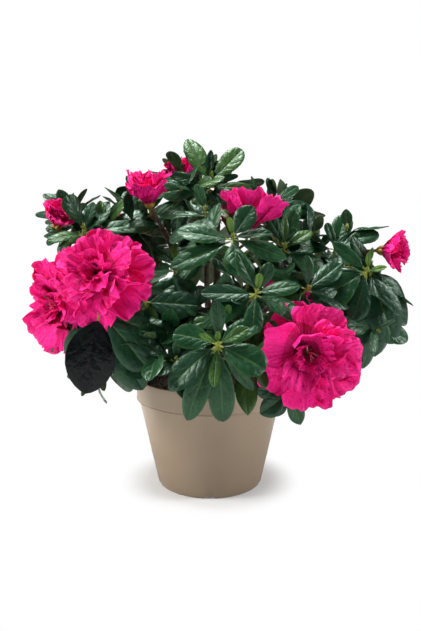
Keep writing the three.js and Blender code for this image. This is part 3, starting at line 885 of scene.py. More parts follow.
# Each mass of foliage grows shoots. lead: the way its main shoot grows; leaf: length in mm;
# open: degrees from the shoot that its lowest leaves stand at; tints: odds of deep, mid, olive, fresh,
# bronze; droop: how far its leaves hang.
usual = {"leaf": 43, "open": 92, "shoots": 3, "tints": (0.5, 0.42, 0.08, 0, 0), "droop": 0.3}
masses = {
    "top": {"lead": (-0.05, -0.15, 1), "open": 70, "leaf": 42, "shoots": 1, "tints": (0.1, 0.3, 0.6, 0, 0)},
    "top_right": {"lead": (0.8, -0.3, 0.4), "leaf": 34, "shoots": 2},
    "top_left": {"lead": (-0.5, -0.5, 0.7), "leaf": 38},
    "left_top": {"lead": (-0.5, -0.35, 0.9), "open": 80, "leaf": 36},
    "left_inner": {"lead": (0.05, -0.6, 0.9), "open": 85, "leaf": 42},
    "middle_left": {"lead": (-0.2, -0.8, 0.6), "leaf": 42},
    "middle_top": {"lead": (0.05, -0.7, 0.8), "leaf": 44},
    "right_top": {"lead": (0.25, -0.7, 0.7), "leaf": 40},
    "right_shoulder": {"lead": (0.6, -0.4, 0.7), "leaf": 40},
    "right_end": {"lead": (0.8, -0.3, 0.1), "leaf": 46, "droop": 1.0, "tints": (0.8, 0.15, 0.05, 0, 0)},
    "right_middle": {"lead": (0.3, -0.9, 0.5), "leaf": 42},
    "right_side": {"lead": (0.7, -0.6, 0.1), "leaf": 40},
    "middle_front": {"lead": (0.05, -0.9, 0.6), "leaf": 42},
    "left_middle": {"lead": (-0.2, -0.9, 0.4), "leaf": 40},
    "left_low": {"lead": (-0.5, -0.6, -0.1), "leaf": 40, "droop": 0.7, "tints": (0.85, 0.15, 0, 0, 0)},
    "left_side": {"lead": (-0.5, -0.8, 0.3), "leaf": 40, "droop": 0.6, "shoots": 4},
    "front_left": {"lead": (-0.4, -0.5, 0.8), "leaf": 36, "droop": 0.1, "shoots": 2},
    "front": {"lead": (0.02, -0.9, 0.35), "leaf": 44, "droop": 1.0, "shoots": 1},
    "right_front": {"lead": (0.3, -0.8, 0.6), "leaf": 36, "droop": 0.2, "shoots": 2},
    "right_low": {"lead": (-0.3, -0.6, 0.3), "leaf": 34, "droop": 0.6, "shoots": 1},
    "top_back": {"lead": (0.1, 0.6, 0.8)},
    "left_top_back": {"lead": (-0.6, 0.6, 0.7)},
    "right_top_back": {"lead": (0.6, 0.6, 0.7)},
    "left_back": {"lead": (-0.8, 0.5, 0.4), "droop": 0.5},
    "right_back": {"lead": (0.8, 0.5, 0.4), "droop": 0.5},
    "back": {"lead": (0, 0.9, 0.5), "droop": 0.5},
    "left_low_back": {"lead": (-0.5, 0.8, 0.1), "droop": 0.8},
    "right_low_back": {"lead": (0.5, 0.8, 0.1), "droop": 0.8},
}
regions = {
    "leavesTop": ["top", "top_right", "top_left", "top_back"],
    "leavesLeft": ["left_top", "left_inner", "left_middle", "left_low", "left_side", "front_left",
                   "middle_left"],
    "leavesRight": ["right_top", "right_shoulder", "right_end", "right_middle", "right_side", "right_front",
                    "right_low"],
    "leavesFront": ["middle_top", "middle_front", "front"],
    "leavesBack": ["left_top_back", "right_top_back", "left_back", "right_back", "back", "left_low_back",
                   "right_low_back"],
}

# The shoots that show most. at: the tip's place in its mass, in half boxes to the right, back and up;
# way: where it grows; stem: mm. Its leaves, from the tip down: turn round the shoot (from the top,
# counter-clockwise as it faces you), degrees from the shoot, length in mm, width by length, tint, droop.
# look: the side they turn their faces to.
shownShoots = {
    "top": [{"at": (-0.2, -0.2, -0.55), "way": (0, -0.15, 1), "stem": 26, "look": (0, -1, -0.5), "leaves": [
        (0, 10, 25, 0.3, deep, 0), (38, 36, 46, 0.4, olive, 0.15), (303, 52, 42, 0.46, olive, 0.1),
        (200, 30, 12, 0.4, fresh, 0), (280, 72, 26, 0.28, deep, 0.1), (95, 72, 34, 0.28, mid, 0.2),
        (105, 96, 42, 0.5, mid, 0.4), (60, 85, 36, 0.45, mid, 0.3), (262, 88, 36, 0.3, olive, 0.2),
        (330, 82, 36, 0.45, mid, 0.3), (160, 110, 32, 0.4, olive, 0.9), (225, 100, 34, 0.42, deep, 0.6)]}],
    "top_right": [{"at": (0.3, -0.4, -0.6), "way": (0.3, -0.4, 0.9), "stem": 22, "look": (0, -1, 0),
                   "leaves": [
        (40, 30, 20, 0.5, deep, 0.1), (282, 72, 38, 0.26, mid, 0.1), (90, 80, 38, 0.32, olive, 0.3),
        (238, 80, 40, 0.44, deep, 0.3), (150, 90, 34, 0.45, deep, 0.5), (60, 62, 30, 0.4, mid, 0.2)]}],
    "top_left": [{"at": (0.2, -0.6, -0.3), "way": (-0.3, -0.6, 0.7), "stem": 20, "leaves": [
        (330, 50, 26, 0.4, mid, 0.1), (290, 75, 38, 0.4, olive, 0.3), (60, 75, 34, 0.36, mid, 0.3),
        (235, 85, 38, 0.44, deep, 0.6), (180, 90, 36, 0.5, deep, 0.5), (120, 88, 34, 0.4, mid, 0.5)]}],
    "left_inner": [{"at": (-0.5, -0.9, -0.7), "way": (-0.1, -0.6, 0.8), "stem": 22, "leaves": [
        (10, 45, 24, 0.4, olive, 0), (290, 85, 44, 0.5, mid, 0.2), (335, 62, 34, 0.36, olive, 0.1),
        (25, 72, 31, 0.62, mid, 0.1), (60, 80, 36, 0.5, deep, 0.1), (100, 88, 38, 0.34, olive, 0.2),
        (310, 80, 42, 0.45, deep, 0.2), (125, 92, 34, 0.36, mid, 0.3)]}],
    "left_top": [
        {"at": (0.1, -0.5, -0.2), "way": (-0.3, -0.3, 0.9), "stem": 20, "leaves": [
            (60, 15, 26, 0.45, mid, 0), (90, 40, 34, 0.5, mid, 0), (300, 35, 32, 0.42, mid, 0.1),
            (110, 62, 36, 0.5, deep, 0.1), (250, 60, 34, 0.42, olive, 0.2), (100, 88, 38, 0.34, olive, 0.3),
            (180, 80, 34, 0.45, deep, 0.4)]},
        {"at": (0.6, -1.65, -0.65), "way": (0.1, -0.3, 0.9), "stem": 20, "look": (0, -1, 0.3), "leaves": [
            (78, 20, 30, 0.6, mid, 0), (330, 40, 26, 0.4, deep, 0), (300, 58, 36, 0.46, mid, 0.1),
            (270, 76, 44, 0.5, mid, 0.1), (100, 84, 30, 0.4, olive, 0.2), (75, 92, 32, 0.36, mid, 0.2)]}],
    "middle_left": [{"at": (0.2, -0.9, -0.4), "way": (0.05, -0.6, 0.8), "stem": 26, "leaves": [
        (10, 35, 18, 0.35, fresh, 0), (45, 78, 27, 0.4, mid, 0), (285, 88, 30, 0.5, deep, 0.2),
        (120, 90, 36, 0.46, mid, 0.3), (215, 92, 28, 0.46, mid, 0.3), (80, 92, 32, 0.4, mid, 0.2)]}],
    "middle_top": [
        {"at": (0.2, -0.95, 0.3), "way": (0.05, -0.85, 0.55), "stem": 26, "leaves": [
            (20, 40, 15, 0.4, fresh, 0), (322, 60, 28, 0.66, deep, 0.1), (283, 72, 30, 0.36, deep, 0.3),
            (245, 86, 44, 0.42, mid, 0.2), (185, 72, 34, 0.58, mid, 0.3), (78, 86, 43, 0.48, mid, 0.1),
            (112, 88, 52, 0.36, mid, 0.1), (90, 100, 46, 0.4, deep, 0.3)]},
        {"at": (-0.6, 0.3, 1.1), "way": (-0.1, -0.5, 0.9), "stem": 24, "leaves": [
            (30, 50, 24, 0.4, mid, 0), (265, 80, 36, 0.42, olive, 0.4), (200, 84, 40, 0.4, deep, 0.4),
            (95, 82, 38, 0.46, mid, 0.2), (140, 88, 38, 0.42, deep, 0.4)]}],
    "middle_front": [{"at": (0.7, -0.75, 0.4), "way": (0.1, -0.9, 0.4), "stem": 26, "leaves": [
        (350, 40, 15, 0.4, fresh, 0), (30, 66, 32, 0.4, mid, 0), (332, 58, 24, 0.45, mid, 0),
        (285, 78, 32, 0.45, mid, 0.1), (165, 78, 30, 0.5, mid, 0.4), (92, 88, 40, 0.38, deep, 0.2),
        (113, 92, 46, 0.4, mid, 0.2), (254, 106, 42, 0.44, mid, 0)]}],
    "front": [{"at": (0.4, -1.0, 0.98), "way": (0, -0.9, 0.4), "stem": 30, "leaves": [
        (10, 30, 11, 0.4, fresh, 0), (356, 60, 30, 0.36, mid, 0), (66, 56, 15, 0.35, fresh, 0.1),
        (291, 68, 25, 0.42, olive, 0.4), (74, 84, 32, 0.62, mid, 0), (242, 84, 38, 0.66, mid, 0.1),
        (301, 94, 34, 0.5, mid, 0.1), (126, 94, 48, 0.46, deep, 0.3), (160, 106, 60, 0.31, mid, 0.1),
        (186, 107, 57, 0.35, mid, 0.1), (172, 80, 30, 0.34, olive, 0.2), (216, 112, 44, 0.2, mid, 0.1),
        (262, 104, 32, 0.42, deep, 0.3), (132, 104, 34, 0.4, olive, 0.4)]}],
    "left_middle": [{"at": (-0.8, -0.5, 0.3), "way": (0.15, -0.8, 0.2), "stem": 24, "leaves": [
        (20, 50, 20, 0.4, mid, 0), (262, 82, 42, 0.6, deep, 0.1), (215, 92, 44, 0.54, mid, 0.2),
        (236, 94, 44, 0.5, deep, 0.2), (198, 100, 46, 0.38, olive, 0.3), (300, 85, 34, 0.45, mid, 0.2)]}],
    "left_low": [{"at": (0.25, -0.6, 1.25), "way": (-0.1, -0.8, 0.1), "stem": 26, "look": (0.1, -0.6, 0.1),
                  "leaves": [
        (172, 84, 62, 0.6, bronze, 0.2), (226, 86, 56, 0.46, deep, 0.2), (150, 92, 50, 0.5, deep, 0.3),
        (250, 84, 40, 0.5, deep, 0.2), (204, 88, 66, 0.42, deep, 0.15), (196, 100, 50, 0.42, deep, 0.3),
        (130, 96, 46, 0.4, deep, 0.4), (285, 80, 34, 0.5, mid, 0.2), (216, 100, 62, 0.4, deep, 0.3)]}],
    "left_side": [
        {"at": (0.7, -1.35, 0.1), "way": (0.1, -0.3, 0.9), "stem": 30, "leaves": [
            (0, 30, 22, 0.42, mid, 0), (130, 50, 30, 0.45, mid, 0.1), (255, 62, 34, 0.45, deep, 0.1),
            (60, 74, 38, 0.44, mid, 0.2), (180, 80, 40, 0.46, deep, 0.3), (310, 82, 40, 0.46, mid, 0.2),
            (100, 90, 42, 0.42, mid, 0.3), (225, 92, 42, 0.44, deep, 0.4), (20, 96, 40, 0.44, mid, 0.4)]},
        {"at": (1.5, -1.1, -0.3), "way": (0.2, -0.2, 0.9), "stem": 30, "leaves": [
            (40, 35, 22, 0.42, mid, 0), (170, 52, 30, 0.45, mid, 0.1), (290, 62, 34, 0.45, mid, 0.1),
            (85, 76, 38, 0.44, deep, 0.2), (215, 82, 40, 0.46, mid, 0.3), (340, 84, 40, 0.44, mid, 0.3),
            (130, 92, 40, 0.44, deep, 0.4), (260, 92, 38, 0.44, mid, 0.4)]},
        {"at": (0.1, -1.5, -0.6), "way": (-0.4, -0.2, 0.8), "stem": 28, "leaves": [
            (20, 40, 22, 0.42, mid, 0), (150, 60, 32, 0.45, mid, 0.1), (270, 66, 34, 0.45, deep, 0.1),
            (70, 80, 38, 0.44, mid, 0.3), (200, 86, 38, 0.46, deep, 0.3), (320, 88, 38, 0.46, mid, 0.3)]}],
    "right_top": [{"at": (-0.3, -0.95, -0.45), "way": (0.1, -0.75, 0.65), "stem": 26, "leaves": [
        (0, 45, 24, 0.3, olive, 0), (20, 68, 32, 0.35, mid, 0), (335, 58, 32, 0.36, mid, 0),
        (300, 74, 28, 0.45, olive, 0.1), (90, 78, 24, 0.32, olive, 0.1), (232, 92, 46, 0.32, mid, 0.2),
        (248, 96, 44, 0.42, mid, 0.2), (205, 90, 38, 0.4, deep, 0.3), (340, 84, 46, 0.42, mid, 0.2)]}],
    "right_shoulder": [
        {"at": (0.15, -0.5, 0.85), "way": (0, -0.1, 1), "stem": 22, "leaves": [
            (0, 8, 17, 0.6, mid, 0), (268, 78, 36, 0.2, mid, 0.1), (265, 88, 10, 0.4, fresh, 0)]},
        {"at": (-0.2, -0.9, 0.2), "way": (0, -0.75, 0.65), "stem": 24, "leaves": [
            (20, 45, 22, 0.4, mid, 0), (80, 82, 40, 0.46, mid, 0.2), (300, 80, 42, 0.46, mid, 0.2),
            (340, 75, 36, 0.5, mid, 0.1), (250, 88, 36, 0.5, deep, 0.3), (130, 88, 38, 0.5, mid, 0.3)]}],
    "right_end": [
        {"at": (-0.45, -0.35, 0.95), "way": (0.35, -0.6, 0.7), "stem": 26, "look": (0.1, -1.9, 0.9),
         "leaves": [
            (0, 35, 14, 0.35, fresh, 0), (30, 62, 28, 0.5, deep, 0), (180, 122, 76, 0.5, deep, 0.1),
            (200, 114, 68, 0.52, deep, 0.15), (222, 106, 64, 0.5, deep, 0.2), (158, 120, 60, 0.5, mid, 0.2),
            (190, 128, 58, 0.46, mid, 0.1), (340, 80, 36, 0.42, mid, 0.4)]},
        {"at": (-0.7, -1.3, 0.9), "way": (-0.1, -0.85, 0.45), "stem": 20, "look": (-0.2, -1, 0.3), "leaves": [
            (350, 45, 14, 0.35, fresh, 0), (55, 78, 36, 0.32, mid, 0.1), (270, 60, 16, 0.35, fresh, 0),
            (124, 84, 50, 0.62, mid, 0.1), (172, 92, 40, 0.5, deep, 0.3), (95, 92, 36, 0.42, deep, 0.3)]}],
    "right_middle": [{"at": (0.4, -0.3, 0.1), "way": (0.2, -0.8, 0.4), "stem": 24, "leaves": [
        (10, 50, 26, 0.4, mid, 0.1), (300, 82, 38, 0.44, deep, 0.2), (60, 80, 36, 0.42, mid, 0.2),
        (250, 88, 42, 0.46, deep, 0.4), (120, 88, 38, 0.42, olive, 0.3)]}],
    "right_side": [
        {"at": (-0.6, -1.6, -0.2), "way": (0.1, -0.4, 0.8), "stem": 30, "leaves": [
            (10, 35, 22, 0.42, mid, 0), (140, 55, 30, 0.45, mid, 0.1), (265, 64, 34, 0.45, deep, 0.1),
            (60, 76, 36, 0.44, mid, 0.2), (190, 84, 38, 0.46, deep, 0.3), (320, 84, 38, 0.46, mid, 0.2),
            (100, 92, 40, 0.42, deep, 0.3), (230, 92, 38, 0.44, mid, 0.4)]},
        {"at": (0.1, -1.35, -0.6), "way": (0.3, -0.3, 0.8), "stem": 28, "leaves": [
            (40, 40, 22, 0.42, mid, 0), (170, 60, 30, 0.45, deep, 0.1), (285, 66, 34, 0.45, mid, 0.1),
            (90, 82, 36, 0.44, mid, 0.3), (215, 88, 38, 0.46, deep, 0.3), (330, 88, 36, 0.46, mid, 0.3)]}],
    "right_low": [{"at": (0.0, -0.6, 0.95), "way": (0.2, -0.6, -0.1), "stem": 18, "look": (0, -1, 0.3),
                   "leaves": [
        (112, 78, 27, 0.66, deep, 0.2), (84, 80, 26, 0.56, deep, 0.2), (206, 86, 33, 0.42, mid, 0.1),
        (146, 82, 22, 0.55, deep, 0.2), (250, 82, 24, 0.45, mid, 0.2)]}],
}


def leafOf(rng, length, droop, age):
    # age 0 is the newest leaf at the tip, 1 the oldest below
    return {
        "length": length, "width": length * rng.uniform(0.4, 0.5), "taper": rng.uniform(0.75, 1.0),
        "blunt": rng.uniform(0.5, 0.78), "bend": rng.uniform(0.05, 0.4) + age * droop * rng.uniform(0.3, 0.9),
        "fold": rng.uniform(0.05, 0.35) * (1 - 0.5 * age), "recurve": rng.uniform(0.05, 0.25),
        "wave": rng.uniform(0.2, 1.2) * mm, "waves": rng.uniform(1.5, 3.2), "phase": rng.uniform(0, 6),
        "quilt": rng.uniform(0.1, 0.3) * mm, "sway": rng.normal(0, 0.05), "twist": rng.normal(0, 0.22),
    }


# radii: the stem's at its foot and tip; bud: how far along and out the folded leaves at the tip reach,
# and how thick they are, in mm
stemShape = {"steps": 6, "radii": (1.25 * mm, 0.8 * mm), "sides": 7, "wander": 0.25 * mm, "budLeaves": 3,
             "budTurn": 2.1, "budAlong": (0, 2.2, 5), "budOut": (0, 0.8, 0.7), "budRadii": (0.9, 1.1, 0.25),
             "budSides": 6}


def growStem(twigs, base, way, length, rng):
    shape = stemShape
    steps = shape["steps"]
    line = np.array([base + way * length * i / steps for i in range(steps + 1)])
    line[1:] += np.cumsum(rng.normal(0, shape["wander"], (steps, 3)), 0)
    twigs.add(*tube(line, np.linspace(*shape["radii"], steps + 1), shape["sides"]), green)
    for i in range(shape["budLeaves"]):
        outward = turned(squareTo(np.array([0.3, 0.2, 1.0]), way), way, i * shape["budTurn"])
        bud = np.array([line[-1] + way * along * mm + outward * out * mm
                        for along, out in zip(shape["budAlong"], shape["budOut"])])
        twigs.add(*tube(bud, np.array(shape["budRadii"]) * mm, shape["budSides"]), green)
    return line


# How a shoot's leaves stand. turn: from one leaf to the next, in radians; tipOpen: degrees from the shoot
# at its tip; young, grown: the first leaf's length and what the last gains; tries: new places for a leaf
# that hits something, each dodge further round and closed by a share.
shootRule = {"turn": 2.39996, "turnSpread": 0.16, "tipOpen": 22, "openSpread": 7, "young": 0.5, "grown": 0.58,
             "tries": 5, "dodge": 0.5, "close": 0.8}


def growShoot(foliage, twigs, base, way, mass, rng, leaves, leafLength, stemLength):
    # a shoot: a short stem with leaves in a spiral, small and steep at the tip, large and flat below
    rule = shootRule
    odds = np.array(mass["tints"]) / sum(mass["tints"])
    tintNumber = int(rng.choice(len(leafTints), p=odds))
    side = squareTo(rng.normal(size=3), way)
    start = rng.uniform(0, fullTurn)
    line = growStem(twigs, base, way, stemLength, rng)
    made = 0
    for i in range(leaves):
        age = (i + 0.5) / leaves
        spot = line[-1] + (line[1] - line[-1]) * age ** 1.2
        opening = rule["tipOpen"] + (mass["open"] - rule["tipOpen"]) * age ** 0.7
        opening = math.radians(opening + rng.normal(0, rule["openSpread"]))
        growth = rule["young"] + rule["grown"] * min(1, age * 1.9)
        length = leafLength * mm * growth * rng.uniform(0.88, 1.1)
        for attempt in range(rule["tries"]):
            turn = start + i * rule["turn"] + rng.normal(0, rule["turnSpread"]) + attempt * rule["dodge"]
            radial = turned(side, way, turn)
            heading = unit(way * math.cos(opening) + radial * math.sin(opening))
            heading = unit(heading + np.array([0, 0, -0.25 * mass["droop"] * age]))
            face = squareTo(way * math.sin(opening) - radial * math.cos(opening) + up * 0.55, heading)
            points = leafPoints(spot + radial * 0.7 * mm, heading, face,
                                leafOf(rng, length, mass["droop"], age))
            if leafIsFree(points):
                tint = tintNumber
                if age < 0.25 and rng.random() < 0.35 and tint < fresh:
                    tint += 1  # some of the youngest leaves are paler
                foliage.add(points, tint)
                made += 1
                break
            opening = opening * rule["close"]
    return made


def growShownShoot(foliage, twigs, tip, shoot, rng):
    # a shoot whose leaves are set out one by one
    way = unit(shoot["way"])
    line = growStem(twigs, tip - way * shoot["stem"] * mm, way, shoot["stem"] * mm, rng)
    side = squareTo(up, way)
    for i, (turn, opening, length, broad, tint, droop) in enumerate(shoot["leaves"]):
        age = i / len(shoot["leaves"])
        radial = turned(side, way, math.radians(turn + rng.normal(0, 3)))
        opening = math.radians(opening)
        heading = unit(way * math.cos(opening) + radial * math.sin(opening))
        look = np.array(shoot.get("look", (0, 0, 0.3)))
        face = squareTo(way * math.sin(opening) - radial * math.cos(opening) + look, heading)
        leaf = leafOf(rng, length * mm, 0, age)
        leaf.update(width=length * broad * mm, bend=rng.uniform(0.02, 0.2) + droop, twist=rng.normal(0, 0.12))
        spot = line[-1] - way * 0.35 * shoot["stem"] * age * mm + radial * 0.8 * mm
        foliage.add(leafPoints(spot, heading, face, leaf), tint)
    return len(shoot["leaves"])


# a mass's main shoot and its side shoots: how many leaves, how long the stem is, and how far behind the
# middle of the mass it starts
mainShoot = {"leaves": 9, "stem": 22 * mm, "behind": 0.35}
sideShoot = {"leaves": 7, "stem": 18 * mm, "behind": 0.6, "aside": 0.3, "turn": 2.1,
             "leafShare": (0.75, 0.95)}


def growMass(name, foliage, limbs, twigs):
    # the shoots of one mass, and the twigs that carry them; tells how many leaves it made
    total = 0
    centre, half = boxOf("foliage_" + name)
    mass = {**usual, **masses[name]}
    rng = np.random.default_rng(500 + sum(map(ord, name)))
    lead = unit(mass["lead"])
    size = np.linalg.norm(half * lead)
    for shoot in shownShoots.get(name, []):
        tip = centre + half * shoot["at"]
        way = unit(shoot["way"])
        growTwig(limbs, twigs, tip - way * shoot["stem"] * mm, way, twigShape["tip"], rng)
        total += growShownShoot(foliage, twigs, tip, shoot, rng)
    shoots = []
    if name not in shownShoots:
        base = centre - lead * size * mainShoot["behind"]
        shoots.append((base, lead, mainShoot["leaves"], mass["leaf"], mainShoot["stem"]))
    for k in range(mass["shoots"] - 1):
        tilt = turned(squareTo(rng.normal(size=3), lead), lead, k * sideShoot["turn"])
        way = unit(lead * rng.uniform(0.3, 0.9) + tilt * rng.uniform(0.5, 1.0) + up * 0.2)
        base = centre - lead * size * sideShoot["behind"] + tilt * half * sideShoot["aside"]
        leafLength = mass["leaf"] * rng.uniform(*sideShoot["leafShare"])
        shoots.append((base, way, sideShoot["leaves"], leafLength, sideShoot["stem"]))
    for base, way, leaves, leafLength, stem in shoots:
        growTwig(limbs, twigs, base, way, twigShape["tip"], rng)
        total += growShoot(foliage, twigs, base, way, mass, rng, leaves, leafLength, stem)
    return total


def growCrown(limbs):
    twigs = Bundle()
    foliages = {region: Foliage() for region in regions}
    jobs = [(region, name) for region, names in regions.items() for name in names]
    # from the trunk outwards, so that the outer twigs can branch from the inner ones
    jobs.sort(key=lambda job: np.linalg.norm(boxOf("foliage_" + job[1])[0] - limbs.points[0]))
    total = 0
    for region, name in jobs:
        total += growMass(name, foliages[region], limbs, twigs)
    for region, names in regions.items():
        leaves = foliages[region]
        piece = joinBlades(region, leafMesh, leaves.points, leaves.looks, leafSlots)
        declare(piece, "leaf", *["foliage_" + name for name in names])
        print(region, len(piece.data.polygons) * 2, "triangles")
    print("leaves", total)
    return twigs


# lobes: depth, waves from side to side and number of the phase, for each wave in the petal's outline;
# ruffles: strength and waves of each wave in its frill; crumple: the wavelength of its creases, and their
# depth in mm
petalForm = {"rows": 22, "columns": 31, "crowding": 0.35, "thickness": 0.35 * mm, "foot": 0.1,
             "lobes": [(0.05, 4.2, 0), (0.02, 9, 1), (0.015, 23, 6)], "roundness": 0.42,
             "ruffles": [(1, 3), (0.7, 6.3), (0.6, 11)], "overhang": 0.85, "pleats": 12,
             "crumple": [(13 * mm, 1.1), (5.5 * mm, 0.45)]}
petalU = np.linspace(0, 1, petalForm["rows"])[:, None]
evenly = np.linspace(-1, 1, petalForm["columns"])
petalV = np.sin(evenly * math.pi / 2)[None, :] * petalForm["crowding"] \
    + evenly[None, :] * (1 - petalForm["crowding"])
petalMesh = bladeTopology(petalU, petalV)


def softNoise(points, wavelength, seed):
    # smooth seeded noise from a few slanted waves, about -1 to 1
    rng = np.random.default_rng(seed)
    total = 0
    for wave in range(8):
        total = total + np.sin(points @ (rng.normal(size=3) * 3.6 / wavelength) + rng.uniform(0, 6.3))
    return total / 3.2


def petalPoints(base, out, axis, petal, rng):
    # a ruffled petal: a fan that rises from the receptacle, spreads and frills at its margin
    form = petalForm
    length, width, late = petal["length"], petal["width"], petal.get("late", 1.5)
    u, v = petalU, petalV
    phase = rng.uniform(0, 6.3, 8)
    foot = form["foot"]
    half = width / 2 * (foot + (1 - foot) * np.sin(np.pi / 2 * np.clip(u * 1.2, 0, 1)) ** 0.9)
    lobes = sum(depth * np.sin(waves * v + phase[number]) for depth, waves, number in form["lobes"])
    rounding = 1 - form["roundness"] * u * (1 - np.sqrt(1 - 0.985 * v ** 2))
    reach = u * rounding + u ** 3 * lobes
    # the petal's long section is walked in small steps, a little past its length, for the lobes
    walk = np.linspace(0, 1.15, 30)
    bendWalk = math.radians(petal["rise"]) + math.radians(petal["curl"]) * walk ** late
    forward = np.concatenate([[0], np.cumsum(np.cos(bendWalk[:-1]) * np.diff(walk))]) * length
    rise = np.concatenate([[0], np.cumsum(np.sin(bendWalk[:-1]) * np.diff(walk))]) * length
    x, z = np.interp(reach, walk, forward), np.interp(reach, walk, rise)
    theta = math.radians(petal["rise"]) + math.radians(petal["curl"]) * reach ** late
    edge = np.clip(u ** 2 * (0.4 + 0.6 * v ** 2) + 0.4 * u * v ** 4, 0, 1)
    ruffle, waves = petal["ruffle"], petal["waves"]
    (broadShare, broad), (middleShare, middle), (fineShare, fine) = form["ruffles"]
    broadWave = waves * v * broad + phase[2] + 1.5 * u
    lift = ruffle * edge * (broadShare * np.sin(broadWave)
                            + middleShare * np.sin(waves * v * middle + phase[3] - u))
    lift = lift + fineShare * ruffle * edge ** 1.5 * np.sin(waves * v * fine + phase[7] + u)
    lift = lift + petal["cup"] * half * v ** 2
    pleats = np.cos(v * form["pleats"] + phase[4] + 0.8 * u)
    lift = lift + petal["pleat"] * pleats * np.sin(np.pi * np.clip(u * 1.05, 0, 1)) ** 0.7
    overhang = form["overhang"] * ruffle * edge * (1 - v ** 4) * np.cos(broadWave)
    twist = petal["twist"] * u
    wide = half * v * (1 - 0.1 * edge) + overhang
    side = np.cross(axis, out)
    lean = np.cos(theta)[..., None] * axis - np.sin(theta)[..., None] * out
    y = wide * np.cos(twist) - lift * np.sin(twist)
    n = wide * np.sin(twist) + lift * np.cos(twist)
    top = base + x[..., None] * out + z[..., None] * axis + y[..., None] * side + n[..., None] * lean
    seed = int(rng.integers(1 << 30))
    crumple = sum(softNoise(top, wavelength, seed + i) * depth
                  for i, (wavelength, depth) in enumerate(form["crumple"]))
    top = top + lean * (crumple * mm * petal["crumple"] * (0.25 + edge) * np.clip(u * 4, 0, 1))[..., None]
    bottom = top[1:-1, 1:-1] - lean[1:-1, 1:-1] * form["thickness"]
    return np.concatenate([top.reshape(-1, 3), bottom.reshape(-1, 3)])


# pink, pink with half and with deep painted shade, and pink with a painted highlight on the edge
petalSlots = ["petalPink", "petalHalfShade", "petalDeepShade", "petalEdgeHighlight"]
# how far out the deep and the half painted shade reach, where the painted highlight of the light edge starts,
# and how much further out all of them lie in the heart of the bloom, where the shade is painted deeper, in
# shares of the petal's length
petalZones = {"deep": 0.22, "halfShade": 0.45, "edge": 0.5, "heartShade": 0.22}


def petalLooks(inner):
    # painted shade, deeper towards the foot of the petal and in the heart of the bloom; a painted highlight
    # makes the frill's edge lighter
    row, column = petalMesh["row"], petalMesh["column"]
    far = (row + 0.5) / (petalForm["rows"] - 1) - petalZones["heartShade"] * inner
    pink, halfShade, deepShade, edge = range(len(petalSlots))
    looks = np.where(far < petalZones["deep"], deepShade, np.where(far < petalZones["halfShade"], halfShade, pink))
    # the painted highlight on the outer row and the side columns, away from the foot
    rim = (row == petalForm["rows"] - 2) | (column == 0) | (column == petalForm["columns"] - 2)
    looks[rim & (far > petalZones["edge"])] = edge
    return looks


# Rows of petals from the outside in. long and wide are shares of the bloom's half width; rise: degrees
# that the petal leaves the bloom's plane at; curl: degrees that it bends on the way, more towards its end
# the higher late is; cup: how far its sides rise; ruffle: mm; waves: how many ruffles it has.
openRows = [
    {"count": 5, "long": 1.0, "wide": 1.2, "rise": 6, "curl": -8, "cup": 0.08, "ruffle": 3.0, "waves": 1.5},
    {"count": 5, "long": 0.92, "wide": 1.05, "rise": 24, "curl": -16, "cup": 0.1, "ruffle": 3.2,
     "waves": 1.6},
    {"count": 4, "long": 0.76, "wide": 0.88, "rise": 44, "curl": -22, "cup": 0.14, "ruffle": 3.2,
     "waves": 1.7},
    {"count": 4, "long": 0.56, "wide": 0.6, "rise": 62, "curl": -10, "cup": 0.3, "ruffle": 2.8, "waves": 1.8},
    {"count": 2, "long": 0.4, "wide": 0.4, "rise": 74, "curl": 0, "cup": 0.5, "ruffle": 2.0, "waves": 2.0},
]
halfOpenRows = [
    {"count": 5, "long": 1.8, "wide": 1.5, "rise": 58, "curl": -44, "cup": 0.2, "ruffle": 3.0, "waves": 1.7,
     "late": 3},
    {"count": 5, "long": 1.75, "wide": 1.35, "rise": 67, "curl": -38, "cup": 0.2, "ruffle": 3.2, "waves": 1.9,
     "late": 2.6},
    {"count": 5, "long": 1.62, "wide": 1.1, "rise": 75, "curl": -32, "cup": 0.25, "ruffle": 3.2, "waves": 2.1,
     "late": 2.4},
    {"count": 4, "long": 1.5, "wide": 0.8, "rise": 82, "curl": -26, "cup": 0.3, "ruffle": 2.8, "waves": 2.2,
     "late": 2.2},
]
# The petals of the blooms that show most, one by one from the outside in: turn round the bloom (from the top,
# counter-clockwise as it faces you), long, wide, rise, curl, cup, ruffle in mm.
rightPetals = [
    (39, 0.88, 1.3, 8, -10, 0.05, 3.2), (334, 0.88, 1.4, 12, -12, 0.05, 3.6),
    (268, 1.0, 1.35, 14, -8, 0.1, 4.4), (128, 1.04, 1.2, 10, -6, 0.1, 3.6),
    (220, 1.03, 1.2, 12, -14, 0.1, 4.6), (176, 1.08, 1.1, 16, -12, 0.1, 3.6),
    (78, 1.0, 1.15, 26, -22, 0.14, 2.0), (300, 0.84, 0.9, 34, -20, 0.12, 3.2),
    (245, 0.8, 0.85, 40, -20, 0.12, 3.2), (152, 0.86, 0.8, 36, -16, 0.2, 2.4),
    (190, 0.74, 0.7, 42, -18, 0.15, 2.2), (335, 0.8, 1.05, 50, 42, 0.25, 2.8),
    (82, 0.48, 0.32, 66, -20, 0.4, 2.4), (112, 0.52, 0.4, 62, -24, 0.3, 2.4),
    (282, 0.58, 0.64, 54, -6, 0.3, 2.8), (148, 0.48, 0.5, 55, -20, 0.3, 2.4),
    (214, 0.52, 0.55, 52, -26, 0.25, 2.6),
]
